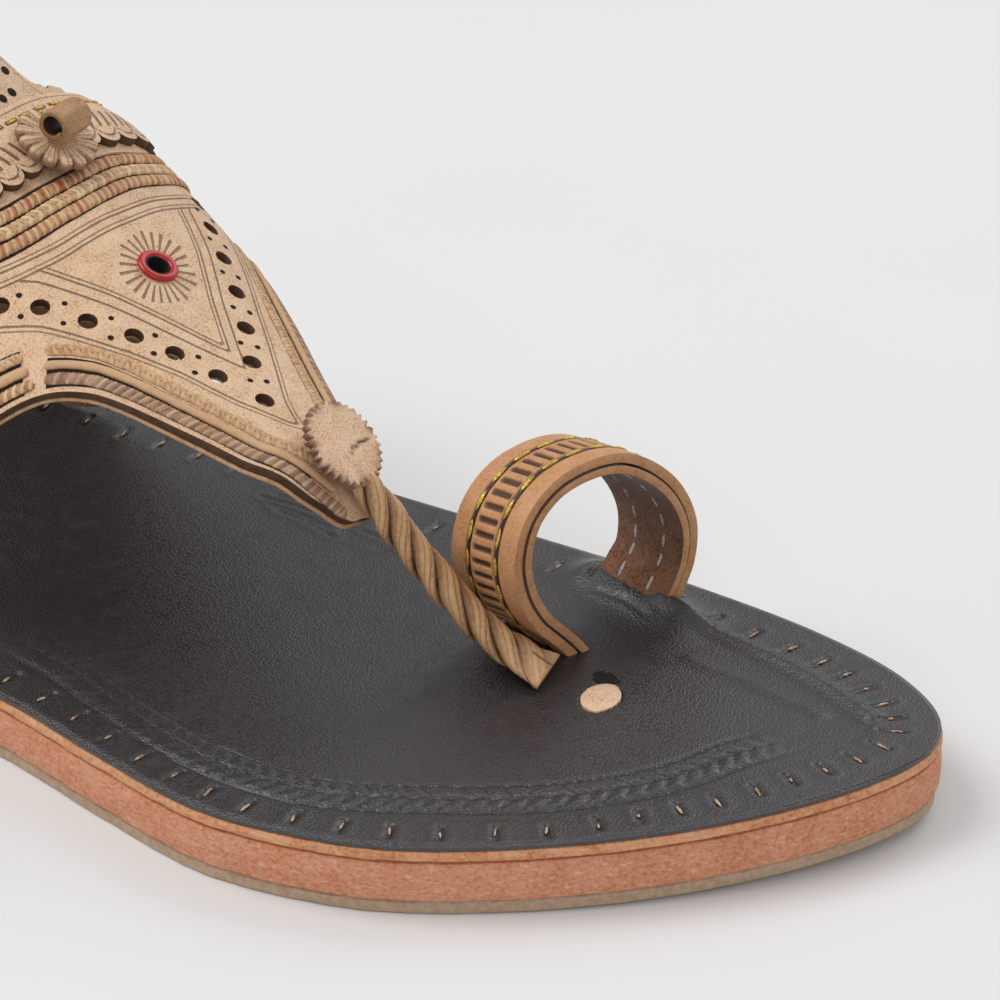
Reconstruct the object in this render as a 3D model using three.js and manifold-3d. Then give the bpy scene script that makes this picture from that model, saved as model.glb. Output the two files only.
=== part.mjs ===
// Kolhapuri sandal, right shoe. Millimetres, +Z up, toe towards +X, big toe on the +Y side.
// The sole stands on z = 0. The upper is one wall whose sections come from a short table.
import * as THREE from 'three';
import Module from 'manifold-3d';
import { mergeVertices } from 'three/addons/utils/BufferGeometryUtils.js';

const wasm = await Module();
wasm.setup();

// Driving dimensions
const GAP = 0.3;               // space left between neighbouring pieces
const SOLE_BACK = -141.4;      // heel end of the sole
const TOE_SPRING = 2;          // lift of the toe tip
const SPRING_FROM = 85;        // where the toe starts to lift
const TOE_TIP = 141.3;
const HEEL_RISE = 7;           // lift of the seat over the heel block
const WAIST_FRONT = -20;       // where the seat starts to rise
const WAIST_BACK = -78;        // where the seat is fully raised
const HEEL_BREAST = -82;       // front face of the heel block
const RUBBER = 2.3;            // outsole and heel top piece
const MIDSOLE_TOP = 9.1;
const TOP_SOLE_TOP = 11.2;
const INSOLE_TOP = 12.1;
const WALL = 2.6;              // wall of the upper, two leathers
const FOOT_INSET = 4;          // legs stand this far inside the sole's edge
const CENTRE_Y = -2.17;        // puts the origin in the middle of the whole sandal

// Plan of the sole, from the heel along the lateral side to the toe and back: x, y
const SOLE_PLAN = [
  [SOLE_BACK, 9], [-134, -10], [-118, -23], [-90, -28], [-60, -29.5], [-25, -31.5],
  [8, -37.8], [31, -45], [52, -50.5], [68, -49.8], [83, -45.8], [106, -31.6],
  [125, -14], [137.5, 4], [TOE_TIP, 16.5], [138.5, 26], [127, 36.3], [108, 44],
  [84, 48.4], [54, 50.3], [24, 51.7], [-5, 53.5], [-28, 54], [-50, 51.5],
  [-75, 47.5], [-100, 44.5], [-120, 39.5], [-135, 27],
];

// Sections of the upper: x, crown z, crown y, lateral half width, medial half width
const SECTIONS = [
  [-100, 133, 10, 41, 27.5],
  [-80, 121, 12.5, 43, 29],
  [-60, 106.5, 16, 45, 30.5],
  [-40, 89, 19.2, 46, 31.5],
  [-30, 79.8, 20.5, 46, 32],
  [-20, 75.3, 21, 46, 32],
  [0, 66, 15.6, 46, 31],
  [20, 56.3, 8.3, 46, 27],
  [36, 50, 2.4, 46, 19],
  [44, 46.8, 0.4, 46, 15],
  [50, 38.2, 0.6, 45, 13],
  [55, 30.5, 1.8, 43, 12],
  [60, 24, 3, 42, 11],
];
const LATERAL_ROUNDNESS = 2.1; // superellipse powers of the two shoulders
const MEDIAL_ROUNDNESS = 3;
const WIDEST_AT = 0.35;        // share of the height where a section is widest
const SOLE_PLANE = 11.6;
const MIDLINE = 0.8;           // the pattern's midline, measured along the wall from the crown

// Edges of the upper: distance from the midline along the wall, x
const FRONT_EDGE = [
  [0, 54.5], [3.5, 53.3], [6.5, 50], [10, 45.5], [13.7, 37.8], [17.2, 28], [21, 22],
  [27.9, 11.7], [34.4, 5.3], [43.4, -0.3], [95, -36],
];
const REAR_EDGE = [
  [0, -56], [5, -54], [8.5, -48], [10.5, -40], [12, -33.5], [17, -31.5], [25, -33.5], [45, -46],
  [80, -79], [112, -93],
];
// Middle cord over the instep, from the lateral foot (minus) to the medial foot
const CROSS_LINE = [
  [-100, -68], [-70, -46], [-45, -28.5], [-21.2, -15.4], [-7.7, -12.4], [6.6, -11.4],
  [16, -10.2], [22, -11], [32, -14.5], [45, -23], [70, -44], [100, -66],
];
// Punched holes: x, distance along the wall from the crown
const LATERAL_HOLES = [[24.1, -5.3], [17, -9.2], [10.8, -13.6], [4, -18.9], [-3.3, -23.9], [-9, -29.1]];
const MEDIAL_HOLES = [[31.8, -1.1], [25.5, 2.8], [20.3, 7.3], [14.4, 11.8], [8.3, 15.3], [2.3, 19], [-4, 23.5]];
const HOLE_RADIUS = 1.6;
const TONGUE_HOLE_RADIUS = 1.5;
const EYELET_AT = [5, -0.2];
const EYELET = { bore: 1.7, flange: 3.3, rise: 0.9, barrel: 3.4 };

// Trim that lies on the upper
const CORD = { width: 2.25, height: 1.1 };
const CORD_STEP = 2.7;         // distance between the instep cords, along the wall
const CORD_OFFSETS = [2.7, 5.2, 7.8];
const STRAP = { front: -5.4, rear: -18, notch: 2, lobe: 6.6, base: 0.55, thickness: 1.5, reach: 86 };
const ROSETTE_APEX = { at: [44.6, 1.2], radius: 7.4, tooth: 0.75, teeth: 26, thickness: 1.8 };
const ROSETTE_INSTEP = { at: [-19.5, -0.5], radius: 6.8, tooth: 0.9, teeth: 14, thickness: 1.8 };
const KNOT = { radius: 3.9, wall: 1.8, length: 6.5 };

// Plait from the V's tip to the insole, and its cut end in its slot: x, y, z of its middle
const PLAIT_PATH = [
  [51.5, 1.5, 41.3], [52.8, 2, 39.3], [55.2, 2.9, 35.8], [59.4, 4.2, 29.9], [64.4, 5.6, 24.2],
  [69.5, 7, 19.2], [74.5, 8.2, 16], [79.4, 9, 14.4],
];
const PLAIT = { width: 7.4, depth: 4.4, fan: 9.6, fanDepth: 2.4, turns: 2.6, strands: 3 };
const TAB = { x: 88.4, y: 8.8, length: 5.9, width: 5.4, thickness: 1.4, turn: -1.26 };
const SLOT = { x: 87.6, y: 11.2, length: 11.8, width: 6.4 };

// Toe ring: its front rim in an upright plane, then its width across
const RING = { x: 79.3, y: 20.4, heading: 70, width: 15.2, drop: 2.5, outer: 1.6, lining: 1.3 };
const RING_RIM = [
  [-0.5, 1.2], [-5.2, 3.6], [-9.6, 7.3], [-13.4, 13.6], [-14.8, 20.4], [-12.6, 27.6], [-7.2, 32.2],
  [0, 33.7], [7.5, 32.7], [14.5, 28.6], [20.2, 22.4], [23.2, 15.2], [22.8, 8.4], [20.6, 3.8], [18.9, 1.2],
];

// Finishes
const finish = (color, roughness, metalness = 0) => (
  new THREE.MeshStandardMaterial({ color, roughness, metalness })
);
const tan = finish(0xc8a073, 0.62);
const cordTan = finish(0xb98a5c, 0.66);
const footbed = finish(0x3c3636, 0.48);
const soleLeather = finish(0xc47b52, 0.7);
const edgeLeather = finish(0xd7a069, 0.65);
const rubber = finish(0x9b8872, 0.85);
const redMetal = finish(0xbe1e2d, 0.35, 0.4);

const sandal = new THREE.Group();

function add(name, geometry, material) {
  const mesh = new THREE.Mesh(geometry, material);
  mesh.name = name;
  sandal.add(mesh);
  return mesh;
}

// Smooth value of a table's column at t, through every row
function column(table, index, t) {
  const last = table.length - 1;
  let k = 0;
  while (k < last - 1 && t > table[k + 1][0]) k += 1;
  const [a, b] = [table[k], table[k + 1]];
  const span = b[0] - a[0];
  const f = Math.min(1, Math.max(0, (t - a[0]) / span));
  const slope = (i) => {
    const lo = table[Math.max(0, i - 1)];
    const hi = table[Math.min(last, i + 1)];
    return (hi[index] - lo[index]) / (hi[0] - lo[0]);
  };
  const [f2, f3] = [f * f, f * f * f];
  return (2 * f3 - 3 * f2 + 1) * a[index] + (f3 - 2 * f2 + f) * span * slope(k)
    + (3 * f2 - 2 * f3) * b[index] + (f3 - f2) * span * slope(k + 1);
}

const smoothstep = (t) => {
  const c = Math.min(1, Math.max(0, t));
  return c * c * (3 - 2 * c);
};

// Height that the heel rise and the toe spring add under a point of the sole
function lift(x) {
  const spring = Math.max(0, (x - SPRING_FROM) / (TOE_TIP - SPRING_FROM));
  return TOE_SPRING * spring ** 2 + HEEL_RISE * smoothstep((WAIST_FRONT - x) / (WAIST_FRONT - WAIST_BACK));
}

// A closed body from its points and faces, with its faces turned outwards
function body(points, faces) {
  let volume = 0;
  for (const [i, j, k] of faces) {
    volume += points[i].dot(points[j].clone().cross(points[k]));
  }
  const index = volume > 0 ? faces.flat() : faces.flatMap(([i, j, k]) => [i, k, j]);
  const geometry = new THREE.BufferGeometry();
  geometry.setAttribute('position', new THREE.Float32BufferAttribute(points.flatMap((p) => [p.x, p.y, p.z]), 3));
  geometry.setIndex(index);
  return geometry;
}

function toManifold(geometry) {
  const bare = geometry.clone();
  bare.deleteAttribute('normal');
  bare.deleteAttribute('uv');
  const merged = mergeVertices(bare, 1e-4);
  const vertProperties = new Float32Array(merged.attributes.position.array);
  const triVerts = new Uint32Array(merged.index.array);
  return new wasm.Manifold(new wasm.Mesh({ numProp: 3, vertProperties, triVerts }));
}

function fromManifold(solid) {
  const mesh = solid.getMesh();
  const geometry = new THREE.BufferGeometry();
  geometry.setAttribute('position', new THREE.BufferAttribute(new Float32Array(mesh.vertProperties), 3));
  geometry.setIndex(new THREE.BufferAttribute(new Uint32Array(mesh.triVerts), 1));
  return geometry;
}

function cut(geometry, cutters) {
  return fromManifold(cutters.reduce((solid, cutter) => solid.subtract(toManifold(cutter)), toManifold(geometry)));
}

// Rings of equal point counts joined one to the next, and closed at both ends
function loft(rings) {
  const count = rings[0].length;
  const faces = [];
  for (let r = 0; r + 1 < rings.length; r += 1) {
    for (let k = 0; k < count; k += 1) {
      const a = r * count + k;
      const b = r * count + (k + 1) % count;
      faces.push([a, b, b + count], [a, b + count, a + count]);
    }
  }
  const end = (rings.length - 1) * count;
  for (let k = 1; k + 1 < count; k += 1) {
    faces.push([0, k + 1, k], [end, end + k, end + k + 1]);
  }
  return body(rings.flat(), faces);
}

// Plan outline moved inwards by a distance, split into its lateral and medial sides
function soleSides(inset) {
  const curve = new THREE.CatmullRomCurve3(SOLE_PLAN.map(([x, y]) => new THREE.Vector3(x, y, 0)), true, 'centripetal');
  const ring = curve.getPoints(360).slice(0, -1);
  const moved = ring.map((p, i) => {
    const along = ring[(i + 1) % ring.length].clone().sub(ring.at(i - 1)).normalize();
    return new THREE.Vector3(p.x - along.y * inset, p.y + along.x * inset, 0);
  });
  const xs = moved.map((p) => p.x);
  const heel = xs.indexOf(Math.min(...xs));
  const toe = xs.indexOf(Math.max(...xs));
  const turn = moved.slice(heel).concat(moved.slice(0, heel));
  const split = (toe - heel + moved.length) % moved.length;
  return { lateral: turn.slice(0, split + 1), medial: turn.slice(split).concat(turn[0]).reverse() };
}

function sideAt(side, x) {
  let k = 0;
  while (k < side.length - 2 && side[k + 1].x < x) k += 1;
  const f = Math.min(1, Math.max(0, (x - side[k].x) / (side[k + 1].x - side[k].x)));
  return side[k].y + f * (side[k + 1].y - side[k].y);
}

// One layer of the sole between two heights, which are functions of x
function soleLayer(inset, bottom, top, from = -Infinity, to = Infinity, steps = 44) {
  const sides = soleSides(inset);
  const endTrim = 0.25;
  const back = Math.max(from, sides.lateral[0].x + endTrim);
  const front = Math.min(to, sides.lateral.at(-1).x - endTrim);
  const rings = [];
  for (let k = 0; k <= steps; k += 1) {
    const x = back + (front - back) * (1 - Math.cos(Math.PI * k / steps)) / 2;
    const [low, high] = [sideAt(sides.lateral, x), sideAt(sides.medial, x)];
    rings.push([
      new THREE.Vector3(x, low, bottom(x)), new THREE.Vector3(x, high, bottom(x)),
      new THREE.Vector3(x, high, top(x)), new THREE.Vector3(x, low, top(x)),
    ]);
  }
  return loft(rings);
}

const raised = (height) => (x) => lift(x) + height;

// Section of the upper at x: points down one shoulder from the crown to the foot, with their arc lengths
const edgeSides = soleSides(FOOT_INSET);
const shoulders = new Map();
function shoulder(x, side) {
  const key = `${side}${x.toFixed(4)}`;
  if (shoulders.has(key)) return shoulders.get(key);
  const [crownZ, crownY] = [column(SECTIONS, 1, x), column(SECTIONS, 2, x)];
  const width = column(SECTIONS, side < 0 ? 3 : 4, x);
  const power = 2 / (side < 0 ? LATERAL_ROUNDNESS : MEDIAL_ROUNDNESS);
  const widestZ = SOLE_PLANE + WIDEST_AT * (crownZ - SOLE_PLANE);
  const footZ = lift(x) + INSOLE_TOP + 3 * GAP;
  const footWidth = Math.abs(sideAt(side < 0 ? edgeSides.lateral : edgeSides.medial, x) - crownY);
  const steps = 40;
  const points = [];
  for (let k = 0; k <= steps; k += 1) {
    const angle = Math.PI / 2 * k / steps;
    points.push([width * Math.sin(angle) ** power, widestZ + (crownZ - widestZ) * Math.cos(angle) ** power]);
  }
  for (let k = 1; k <= steps / 2; k += 1) {
    const f = 2 * k / steps;
    points.push([width + (footWidth - width) * f * f, widestZ + (footZ - widestZ) * f]);
  }
  let length = 0;
  const result = points.map(([w, z], i) => {
    if (i > 0) length += Math.hypot(w - points[i - 1][0], z - points[i - 1][1]);
    return [length, crownY + side * w, z];
  });
  shoulders.set(key, result);
  return result;
}

const wallLength = (x, side) => shoulder(x, side).at(-1)[0];

// Point of the upper's outer face at x and at a distance s along the wall, minus on the lateral side
function onUpper(x, s) {
  const rows = shoulder(x, s < 0 ? -1 : 1);
  const distance = Math.min(Math.abs(s), rows.at(-1)[0]);
  let k = 0;
  while (k < rows.length - 2 && rows[k + 1][0] < distance) k += 1;
  const f = (distance - rows[k][0]) / (rows[k + 1][0] - rows[k][0]);
  return new THREE.Vector3(x, rows[k][1] + f * (rows[k + 1][1] - rows[k][1]), rows[k][2] + f * (rows[k + 1][2] - rows[k][2]));
}

// Outward direction of the upper's face
function upperNormal(x, s) {
  const h = 0.8;
  const along = onUpper(x + h, s).sub(onUpper(x - h, s));
  const across = onUpper(x, s + h).sub(onUpper(x, s - h));
  return along.cross(across).normalize();
}

const overUpper = (x, s, height) => onUpper(x, s).addScaledVector(upperNormal(x, s), height);

// x and s of an edge of the upper on the wall's line that runs a share of the way down to the foot
function edgeAt(edge, share) {
  let x = column(edge, 1, Math.abs(share) * edge.at(-1)[0]);
  for (let k = 0; k < 12; k += 1) {
    const s = share * wallLength(x, share < 0 ? -1 : 1);
    const reach = Math.abs(share) > 0.999 ? edge.at(-1)[0] : Math.min(edge.at(-1)[0], Math.abs(s - MIDLINE));
    x = 0.5 * x + 0.5 * column(edge, 1, reach);
  }
  return x;
}

// Closed sheet over a grid of wall places, from one height above the wall's outer face to another
function sheet(columns, rows, place, low, high) {
  const points = [];
  for (const height of [high, low]) {
    for (let c = 0; c < columns; c += 1) {
      for (let r = 0; r < rows; r += 1) {
        const [x, s] = place(c / (columns - 1), r / (rows - 1), c);
        points.push(overUpper(x, s, height));
      }
    }
  }
  const at = (layer, c, r) => layer * columns * rows + c * rows + r;
  const faces = [];
  const quad = (a, b, c, d) => faces.push([a, b, c], [a, c, d]);
  for (let c = 0; c + 1 < columns; c += 1) {
    for (let r = 0; r + 1 < rows; r += 1) {
      quad(at(0, c, r), at(0, c + 1, r), at(0, c + 1, r + 1), at(0, c, r + 1));
      quad(at(1, c, r), at(1, c, r + 1), at(1, c + 1, r + 1), at(1, c + 1, r));
    }
    quad(at(0, c, 0), at(1, c, 0), at(1, c + 1, 0), at(0, c + 1, 0));
    quad(at(0, c, rows - 1), at(0, c + 1, rows - 1), at(1, c + 1, rows - 1), at(1, c, rows - 1));
  }
  for (let r = 0; r + 1 < rows; r += 1) {
    quad(at(0, 0, r), at(0, 0, r + 1), at(1, 0, r + 1), at(1, 0, r));
    quad(at(0, columns - 1, r), at(1, columns - 1, r), at(1, columns - 1, r + 1), at(0, columns - 1, r + 1));
  }
  return body(points, faces);
}

// Raised cord on the upper along a path of wall places, with one or more ribs across
function cord(path, width, height, ribs = 1) {
  const profile = [[-0.5, 0]];
  for (let k = 0; k < ribs; k += 1) {
    const middle = (k + 0.5) / ribs - 0.5;
    profile.push([middle - 0.42 / ribs, 0.6], [middle, 1], [middle + 0.42 / ribs, 0.6]);
  }
  profile.push([0.5, 0]);
  const rings = path.map(([x, s], i) => {
    const before = onUpper(...path[Math.max(0, i - 1)]);
    const after = onUpper(...path[Math.min(path.length - 1, i + 1)]);
    const normal = upperNormal(x, s);
    const side = after.sub(before).cross(normal).normalize();
    const base = GAP + 0.2 + 0.05 * width;
    return profile.map(([u, v]) => (
      onUpper(x, s).addScaledVector(side, u * width).addScaledVector(normal, base + v * height)
    ));
  });
  return loft(rings);
}

// A flat piece set on the upper: its own XY plane turned to the wall, its middle at the place
function seat(geometry, [x, s], height, spin = 0) {
  const normal = upperNormal(x, s);
  const turn = new THREE.Quaternion().setFromUnitVectors(new THREE.Vector3(0, 0, 1), normal);
  turn.multiply(new THREE.Quaternion().setFromAxisAngle(new THREE.Vector3(0, 0, 1), spin));
  geometry.applyQuaternion(turn);
  const at = overUpper(x, s, height);
  geometry.translate(at.x, at.y, at.z);
  return geometry;
}

function toothedDisc({ radius, tooth, teeth, thickness }) {
  const shape = new THREE.Shape();
  for (let k = 0; k < 2 * teeth; k += 1) {
    const angle = Math.PI * k / teeth;
    const r = k % 2 ? radius - tooth : radius;
    if (k === 0) shape.moveTo(r, 0);
    else shape.lineTo(r * Math.cos(angle), r * Math.sin(angle));
  }
  shape.closePath();
  return new THREE.ExtrudeGeometry(shape, { depth: thickness, bevelEnabled: false });
}

// A closed ring turned about Z: inner and outer radius, lowest and highest z
function turnedRing(inner, outer, low, high, segments) {
  const profile = [[inner, low], [outer, low], [outer, high], [inner, high], [inner, low]];
  return new THREE.LatheGeometry(profile.map(([r, z]) => new THREE.Vector2(r, z)), segments).rotateX(Math.PI / 2);
}

function buildSole() {
  const slot = new THREE.BoxGeometry(SLOT.length, SLOT.width, 2 * INSOLE_TOP);
  slot.rotateZ(TAB.turn).translate(SLOT.x, SLOT.y, INSOLE_TOP + TOP_SOLE_TOP);
  const shallowSlot = slot.clone().translate(0, 0, -0.5);
  add('outsole', soleLayer(0.8, raised(0), raised(RUBBER)), rubber);
  add('midsole', soleLayer(0.2, raised(RUBBER + GAP), raised(MIDSOLE_TOP)), soleLeather);
  add('top_sole', soleLayer(0, raised(MIDSOLE_TOP + GAP), raised(TOP_SOLE_TOP)), edgeLeather);
  add('insole', cut(soleLayer(0.3, raised(TOP_SOLE_TOP + GAP), raised(INSOLE_TOP)), [shallowSlot]), footbed);
  const liftTop = (x) => lift(x) - GAP;
  add('heel_lift', soleLayer(1, () => RUBBER + GAP, liftTop, -Infinity, HEEL_BREAST, 24), soleLeather);
  add('heel_top_piece', soleLayer(1, () => 0, () => RUBBER, -Infinity, HEEL_BREAST, 24), rubber);
}

// Shares of the way down the wall where the upper's sheet has a line of points
const WALL_SHARES = [
  0, 0.03, 0.06, 0.09, 0.115, 0.14, 0.17, 0.2, 0.24, 0.29, 0.34, 0.4, 0.46, 0.52, 0.58, 0.64, 0.7,
  0.76, 0.82, 0.88, 0.94, 1,
];

// Lines along the sheet: shares of the way from the front edge to the strap's rear edge, then on to the rear edge
const WALL_STOPS = [
  [0, 0], [0, 0.09], [0, 0.2], [0, 0.37], [0, 0.57], [0, 0.74], [0, 0.88], [0, 1], [1, 0.35], [1, 1],
];

function buildUpper() {
  const shares = WALL_SHARES.slice(1).map((v) => -v).reverse().concat(WALL_SHARES);
  const place = (u, v, c) => {
    const share = shares[c];
    const front = edgeAt(FRONT_EDGE, share);
    const rear = edgeAt(REAR_EDGE, share);
    const [part, f] = WALL_STOPS[Math.round(v * (WALL_STOPS.length - 1))];
    const side = share < 0 ? -1 : 1;
    const reach = Math.min(100, Math.abs(share * wallLength((front + rear) / 2, side) - MIDLINE));
    const middle = Math.max(rear + 1, column(CROSS_LINE, 1, side * reach) + STRAP.rear);
    const x = part === 0 ? front + (middle - front) * f : middle + (rear - middle) * f;
    return [x, share * wallLength(x, side)];
  };
  const wall = sheet(shares.length, WALL_STOPS.length, place, -WALL, 0);
  const tongueHoles = [-34, -42, -50].flatMap((x) => [[x, MIDLINE - 4.2], [x, MIDLINE + 4.2]]);
  const punch = (radius) => (at) => seat(new THREE.CylinderGeometry(radius, radius, 12, 10).rotateX(Math.PI / 2), at, 0);
  const cutters = [...LATERAL_HOLES, ...MEDIAL_HOLES].map(punch(HOLE_RADIUS));
  cutters.push(...tongueHoles.map(punch(TONGUE_HOLE_RADIUS)), punch(EYELET.bore)(EYELET_AT));
  add('upper', cut(wall, cutters), tan);
  const flange = turnedRing(EYELET.bore, EYELET.flange, 0, EYELET.rise, 18);
  add('eyelet', seat(flange, EYELET_AT, GAP + 0.25), redMetal);
}

// Path a distance behind a line of the upper, over a span of the line's table, on one side or on both
function behind(line, side, inset, from, to, steps) {
  const slopeStretch = 1.15;   // wall length for each millimetre of x
  const h = 0.5;
  const path = [];
  for (let k = 0; k <= steps; k += 1) {
    const reach = from + (to - from) * k / steps;
    const x = column(line, 1, reach);
    const run = slopeStretch * (column(line, 1, reach + h) - column(line, 1, reach - h)) / (2 * h);
    const size = Math.hypot(1, run);
    path.push([x - inset / size / slopeStretch, MIDLINE + side * (reach + inset * run / size)]);
  }
  return path;
}

function buildCords() {
  const corner = 33;
  for (const [name, side] of [['lateral', -1], ['medial', 1]]) {
    CORD_OFFSETS.forEach((inset, k) => {
      const path = behind(FRONT_EDGE, side, inset, 11.5 + inset * 0.45, corner + inset * 0.5, 16);
      add(`front_braid_${name}_${k + 1}`, cord(path, CORD.width, CORD.height), cordTan);
    });
    const leg = behind(FRONT_EDGE, side, CORD_OFFSETS[1], corner + 9, 87, 16);
    add(`leg_braid_front_${name}`, cord(leg, 3 * CORD.width, CORD.height, 3), cordTan);
  }
  for (let k = 0; k < 3; k += 1) {
    const path = behind(CROSS_LINE, 1, CORD_STEP * (1 - k), -86, 86, 32);
    add(`cross_braid_${k + 1}`, cord(path, CORD.width, CORD.height), cordTan);
  }
}

function buildStrap() {
  const perLobe = 4;
  const lobes = 2 * Math.round(STRAP.reach / STRAP.lobe);
  const place = (u, v) => {
    const p = (u - 0.5) * lobes * STRAP.lobe;
    const phase = ((u * lobes) % 1 + 1) % 1;
    const scallop = Math.sqrt(Math.max(0, 1 - (2 * phase - 1) ** 2));
    const front = STRAP.front - STRAP.notch * (1 - scallop);
    return [column(CROSS_LINE, 1, p) + front + (STRAP.rear - front) * v, p + MIDLINE];
  };
  add('instep_strap', sheet(lobes * perLobe + 1, 4, place, STRAP.base, STRAP.base + STRAP.thickness), tan);
}

function buildRosettes() {
  const apex = seat(toothedDisc(ROSETTE_APEX), ROSETTE_APEX.at, GAP + CORD.height + 0.5);
  add('rosette_apex', apex, tan);
  const overStrap = STRAP.base + STRAP.thickness + GAP + 0.1;
  add('rosette_instep', seat(toothedDisc(ROSETTE_INSTEP), ROSETTE_INSTEP.at, overStrap), tan);
  const roll = turnedRing(KNOT.radius - KNOT.wall, KNOT.radius, -KNOT.length / 2, KNOT.length / 2, 16);
  roll.rotateX(Math.PI / 2).translate(0, 0, KNOT.radius);
  add('knot_instep', seat(roll, ROSETTE_INSTEP.at, overStrap + ROSETTE_INSTEP.thickness + GAP), tan);
}

// Twisted leather: a lobed section that turns along the path and fans out flat at its end
function buildPlait() {
  const curve = new THREE.CatmullRomCurve3(PLAIT_PATH.map((p) => new THREE.Vector3(...p)));
  const [steps, around, fanFrom] = [32, 12, 0.8];
  const rings = [];
  for (let k = 0; k <= steps; k += 1) {
    const t = k / steps;
    const along = curve.getTangentAt(t);
    const side = new THREE.Vector3(0, 1, 0).addScaledVector(along, -along.y).normalize();
    const up = side.clone().cross(along).negate();
    const fan = smoothstep((t - fanFrom) / (1 - fanFrom));
    const width = PLAIT.width + (PLAIT.fan - PLAIT.width) * fan;
    const start = 0.5 + 0.5 * smoothstep(t / 0.12);
    const depth = start * (PLAIT.depth + (PLAIT.fanDepth - PLAIT.depth) * fan);
    const ring = [];
    for (let a = 0; a < around; a += 1) {
      const angle = 2 * Math.PI * a / around;
      const lobe = 1 + 0.13 * (1 - fan) * Math.cos(PLAIT.strands * (angle - 2 * Math.PI * PLAIT.turns * t / PLAIT.strands));
      ring.push(curve.getPointAt(t)
        .addScaledVector(side, width / 2 * lobe * Math.cos(angle))
        .addScaledVector(up, depth / 2 * lobe * Math.sin(angle)));
    }
    rings.push(ring);
  }
  add('plait', loft(rings), tan);
  const tab = new THREE.BoxGeometry(TAB.length, TAB.width, TAB.thickness, 1, 1, 1);
  tab.rotateZ(TAB.turn).translate(TAB.x, TAB.y, TOP_SOLE_TOP + GAP + TAB.thickness / 2);
  add('plait_tab', tab, tan);
}

// One layer of the toe ring, between two depths in from its outer face
function ringLayer(outer, inner) {
  const heading = THREE.MathUtils.degToRad(RING.heading);
  const across = new THREE.Vector3(Math.cos(heading), Math.sin(heading), 0);
  const back = new THREE.Vector3(-Math.sin(heading), Math.cos(heading), 0).multiplyScalar(RING.width);
  const origin = new THREE.Vector3(RING.x, RING.y, SOLE_PLANE);
  const curve = new THREE.CatmullRomCurve3(RING_RIM.map(([a, z]) => new THREE.Vector3(a, z, 0)));
  const steps = 34;
  const rings = [];
  for (let k = 0; k <= steps; k += 1) {
    const at = curve.getPointAt(k / steps);
    const along = curve.getTangentAt(k / steps);
    const drop = RING.drop * smoothstep((at.y - 1) / 10);
    const corner = (depth, width) => {
      const point = origin.clone().addScaledVector(across, at.x + along.y * depth).addScaledVector(back, width);
      point.z = SOLE_PLANE + at.y - along.x * depth - drop * width;
      return point;
    };
    rings.push([corner(outer, 0), corner(outer, 1), corner(inner, 1), corner(inner, 0)]);
  }
  return loft(rings);
}

function buildToeRing() {
  add('toe_ring', ringLayer(0, RING.outer), tan);
  const liningFrom = RING.outer + 1.5 * GAP;
  add('toe_ring_lining', ringLayer(liningFrom, liningFrom + RING.lining), tan);
}

buildSole();
buildUpper();
buildCords();
buildStrap();
buildRosettes();
buildPlait();
buildToeRing();
sandal.position.set(0, CENTRE_Y, 0);

export default sandal;
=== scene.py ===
"""Kolhapuri sandal, right shoe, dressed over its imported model.

Shapes are worked out in millimetres in the part's own frame, with +X to the toe, +Y to the
big toe's side and +Z up. Meshes are stored in metres.
"""
from __future__ import annotations

import logging
import math
from dataclasses import dataclass, field
from enum import Enum
from typing import Callable, Sequence

import bpy
import numpy as np
from mathutils import Matrix, Vector

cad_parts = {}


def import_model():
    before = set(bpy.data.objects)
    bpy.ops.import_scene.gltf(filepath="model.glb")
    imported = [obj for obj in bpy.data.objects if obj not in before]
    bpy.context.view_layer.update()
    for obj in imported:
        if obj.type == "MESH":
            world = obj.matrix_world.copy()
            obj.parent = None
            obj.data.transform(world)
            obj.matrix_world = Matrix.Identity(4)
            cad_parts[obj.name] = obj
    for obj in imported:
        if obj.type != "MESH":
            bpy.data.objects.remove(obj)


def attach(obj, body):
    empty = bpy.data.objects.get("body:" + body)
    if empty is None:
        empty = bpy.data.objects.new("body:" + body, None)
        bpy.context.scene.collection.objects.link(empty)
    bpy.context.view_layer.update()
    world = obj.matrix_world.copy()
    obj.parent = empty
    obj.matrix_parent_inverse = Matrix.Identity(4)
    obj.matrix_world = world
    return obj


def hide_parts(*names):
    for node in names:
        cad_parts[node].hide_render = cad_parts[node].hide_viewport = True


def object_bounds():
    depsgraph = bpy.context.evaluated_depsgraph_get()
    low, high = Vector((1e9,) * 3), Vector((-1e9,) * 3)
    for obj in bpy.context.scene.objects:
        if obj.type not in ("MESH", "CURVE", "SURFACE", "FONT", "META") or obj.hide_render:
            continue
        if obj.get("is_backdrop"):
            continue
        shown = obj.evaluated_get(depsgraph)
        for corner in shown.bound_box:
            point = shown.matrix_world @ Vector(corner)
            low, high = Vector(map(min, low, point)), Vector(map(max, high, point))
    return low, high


log = logging.getLogger("sandal")

MM = 0.001
CENTRE_Y = -2.17
GAP = 0.3
BODY = "root"

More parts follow.
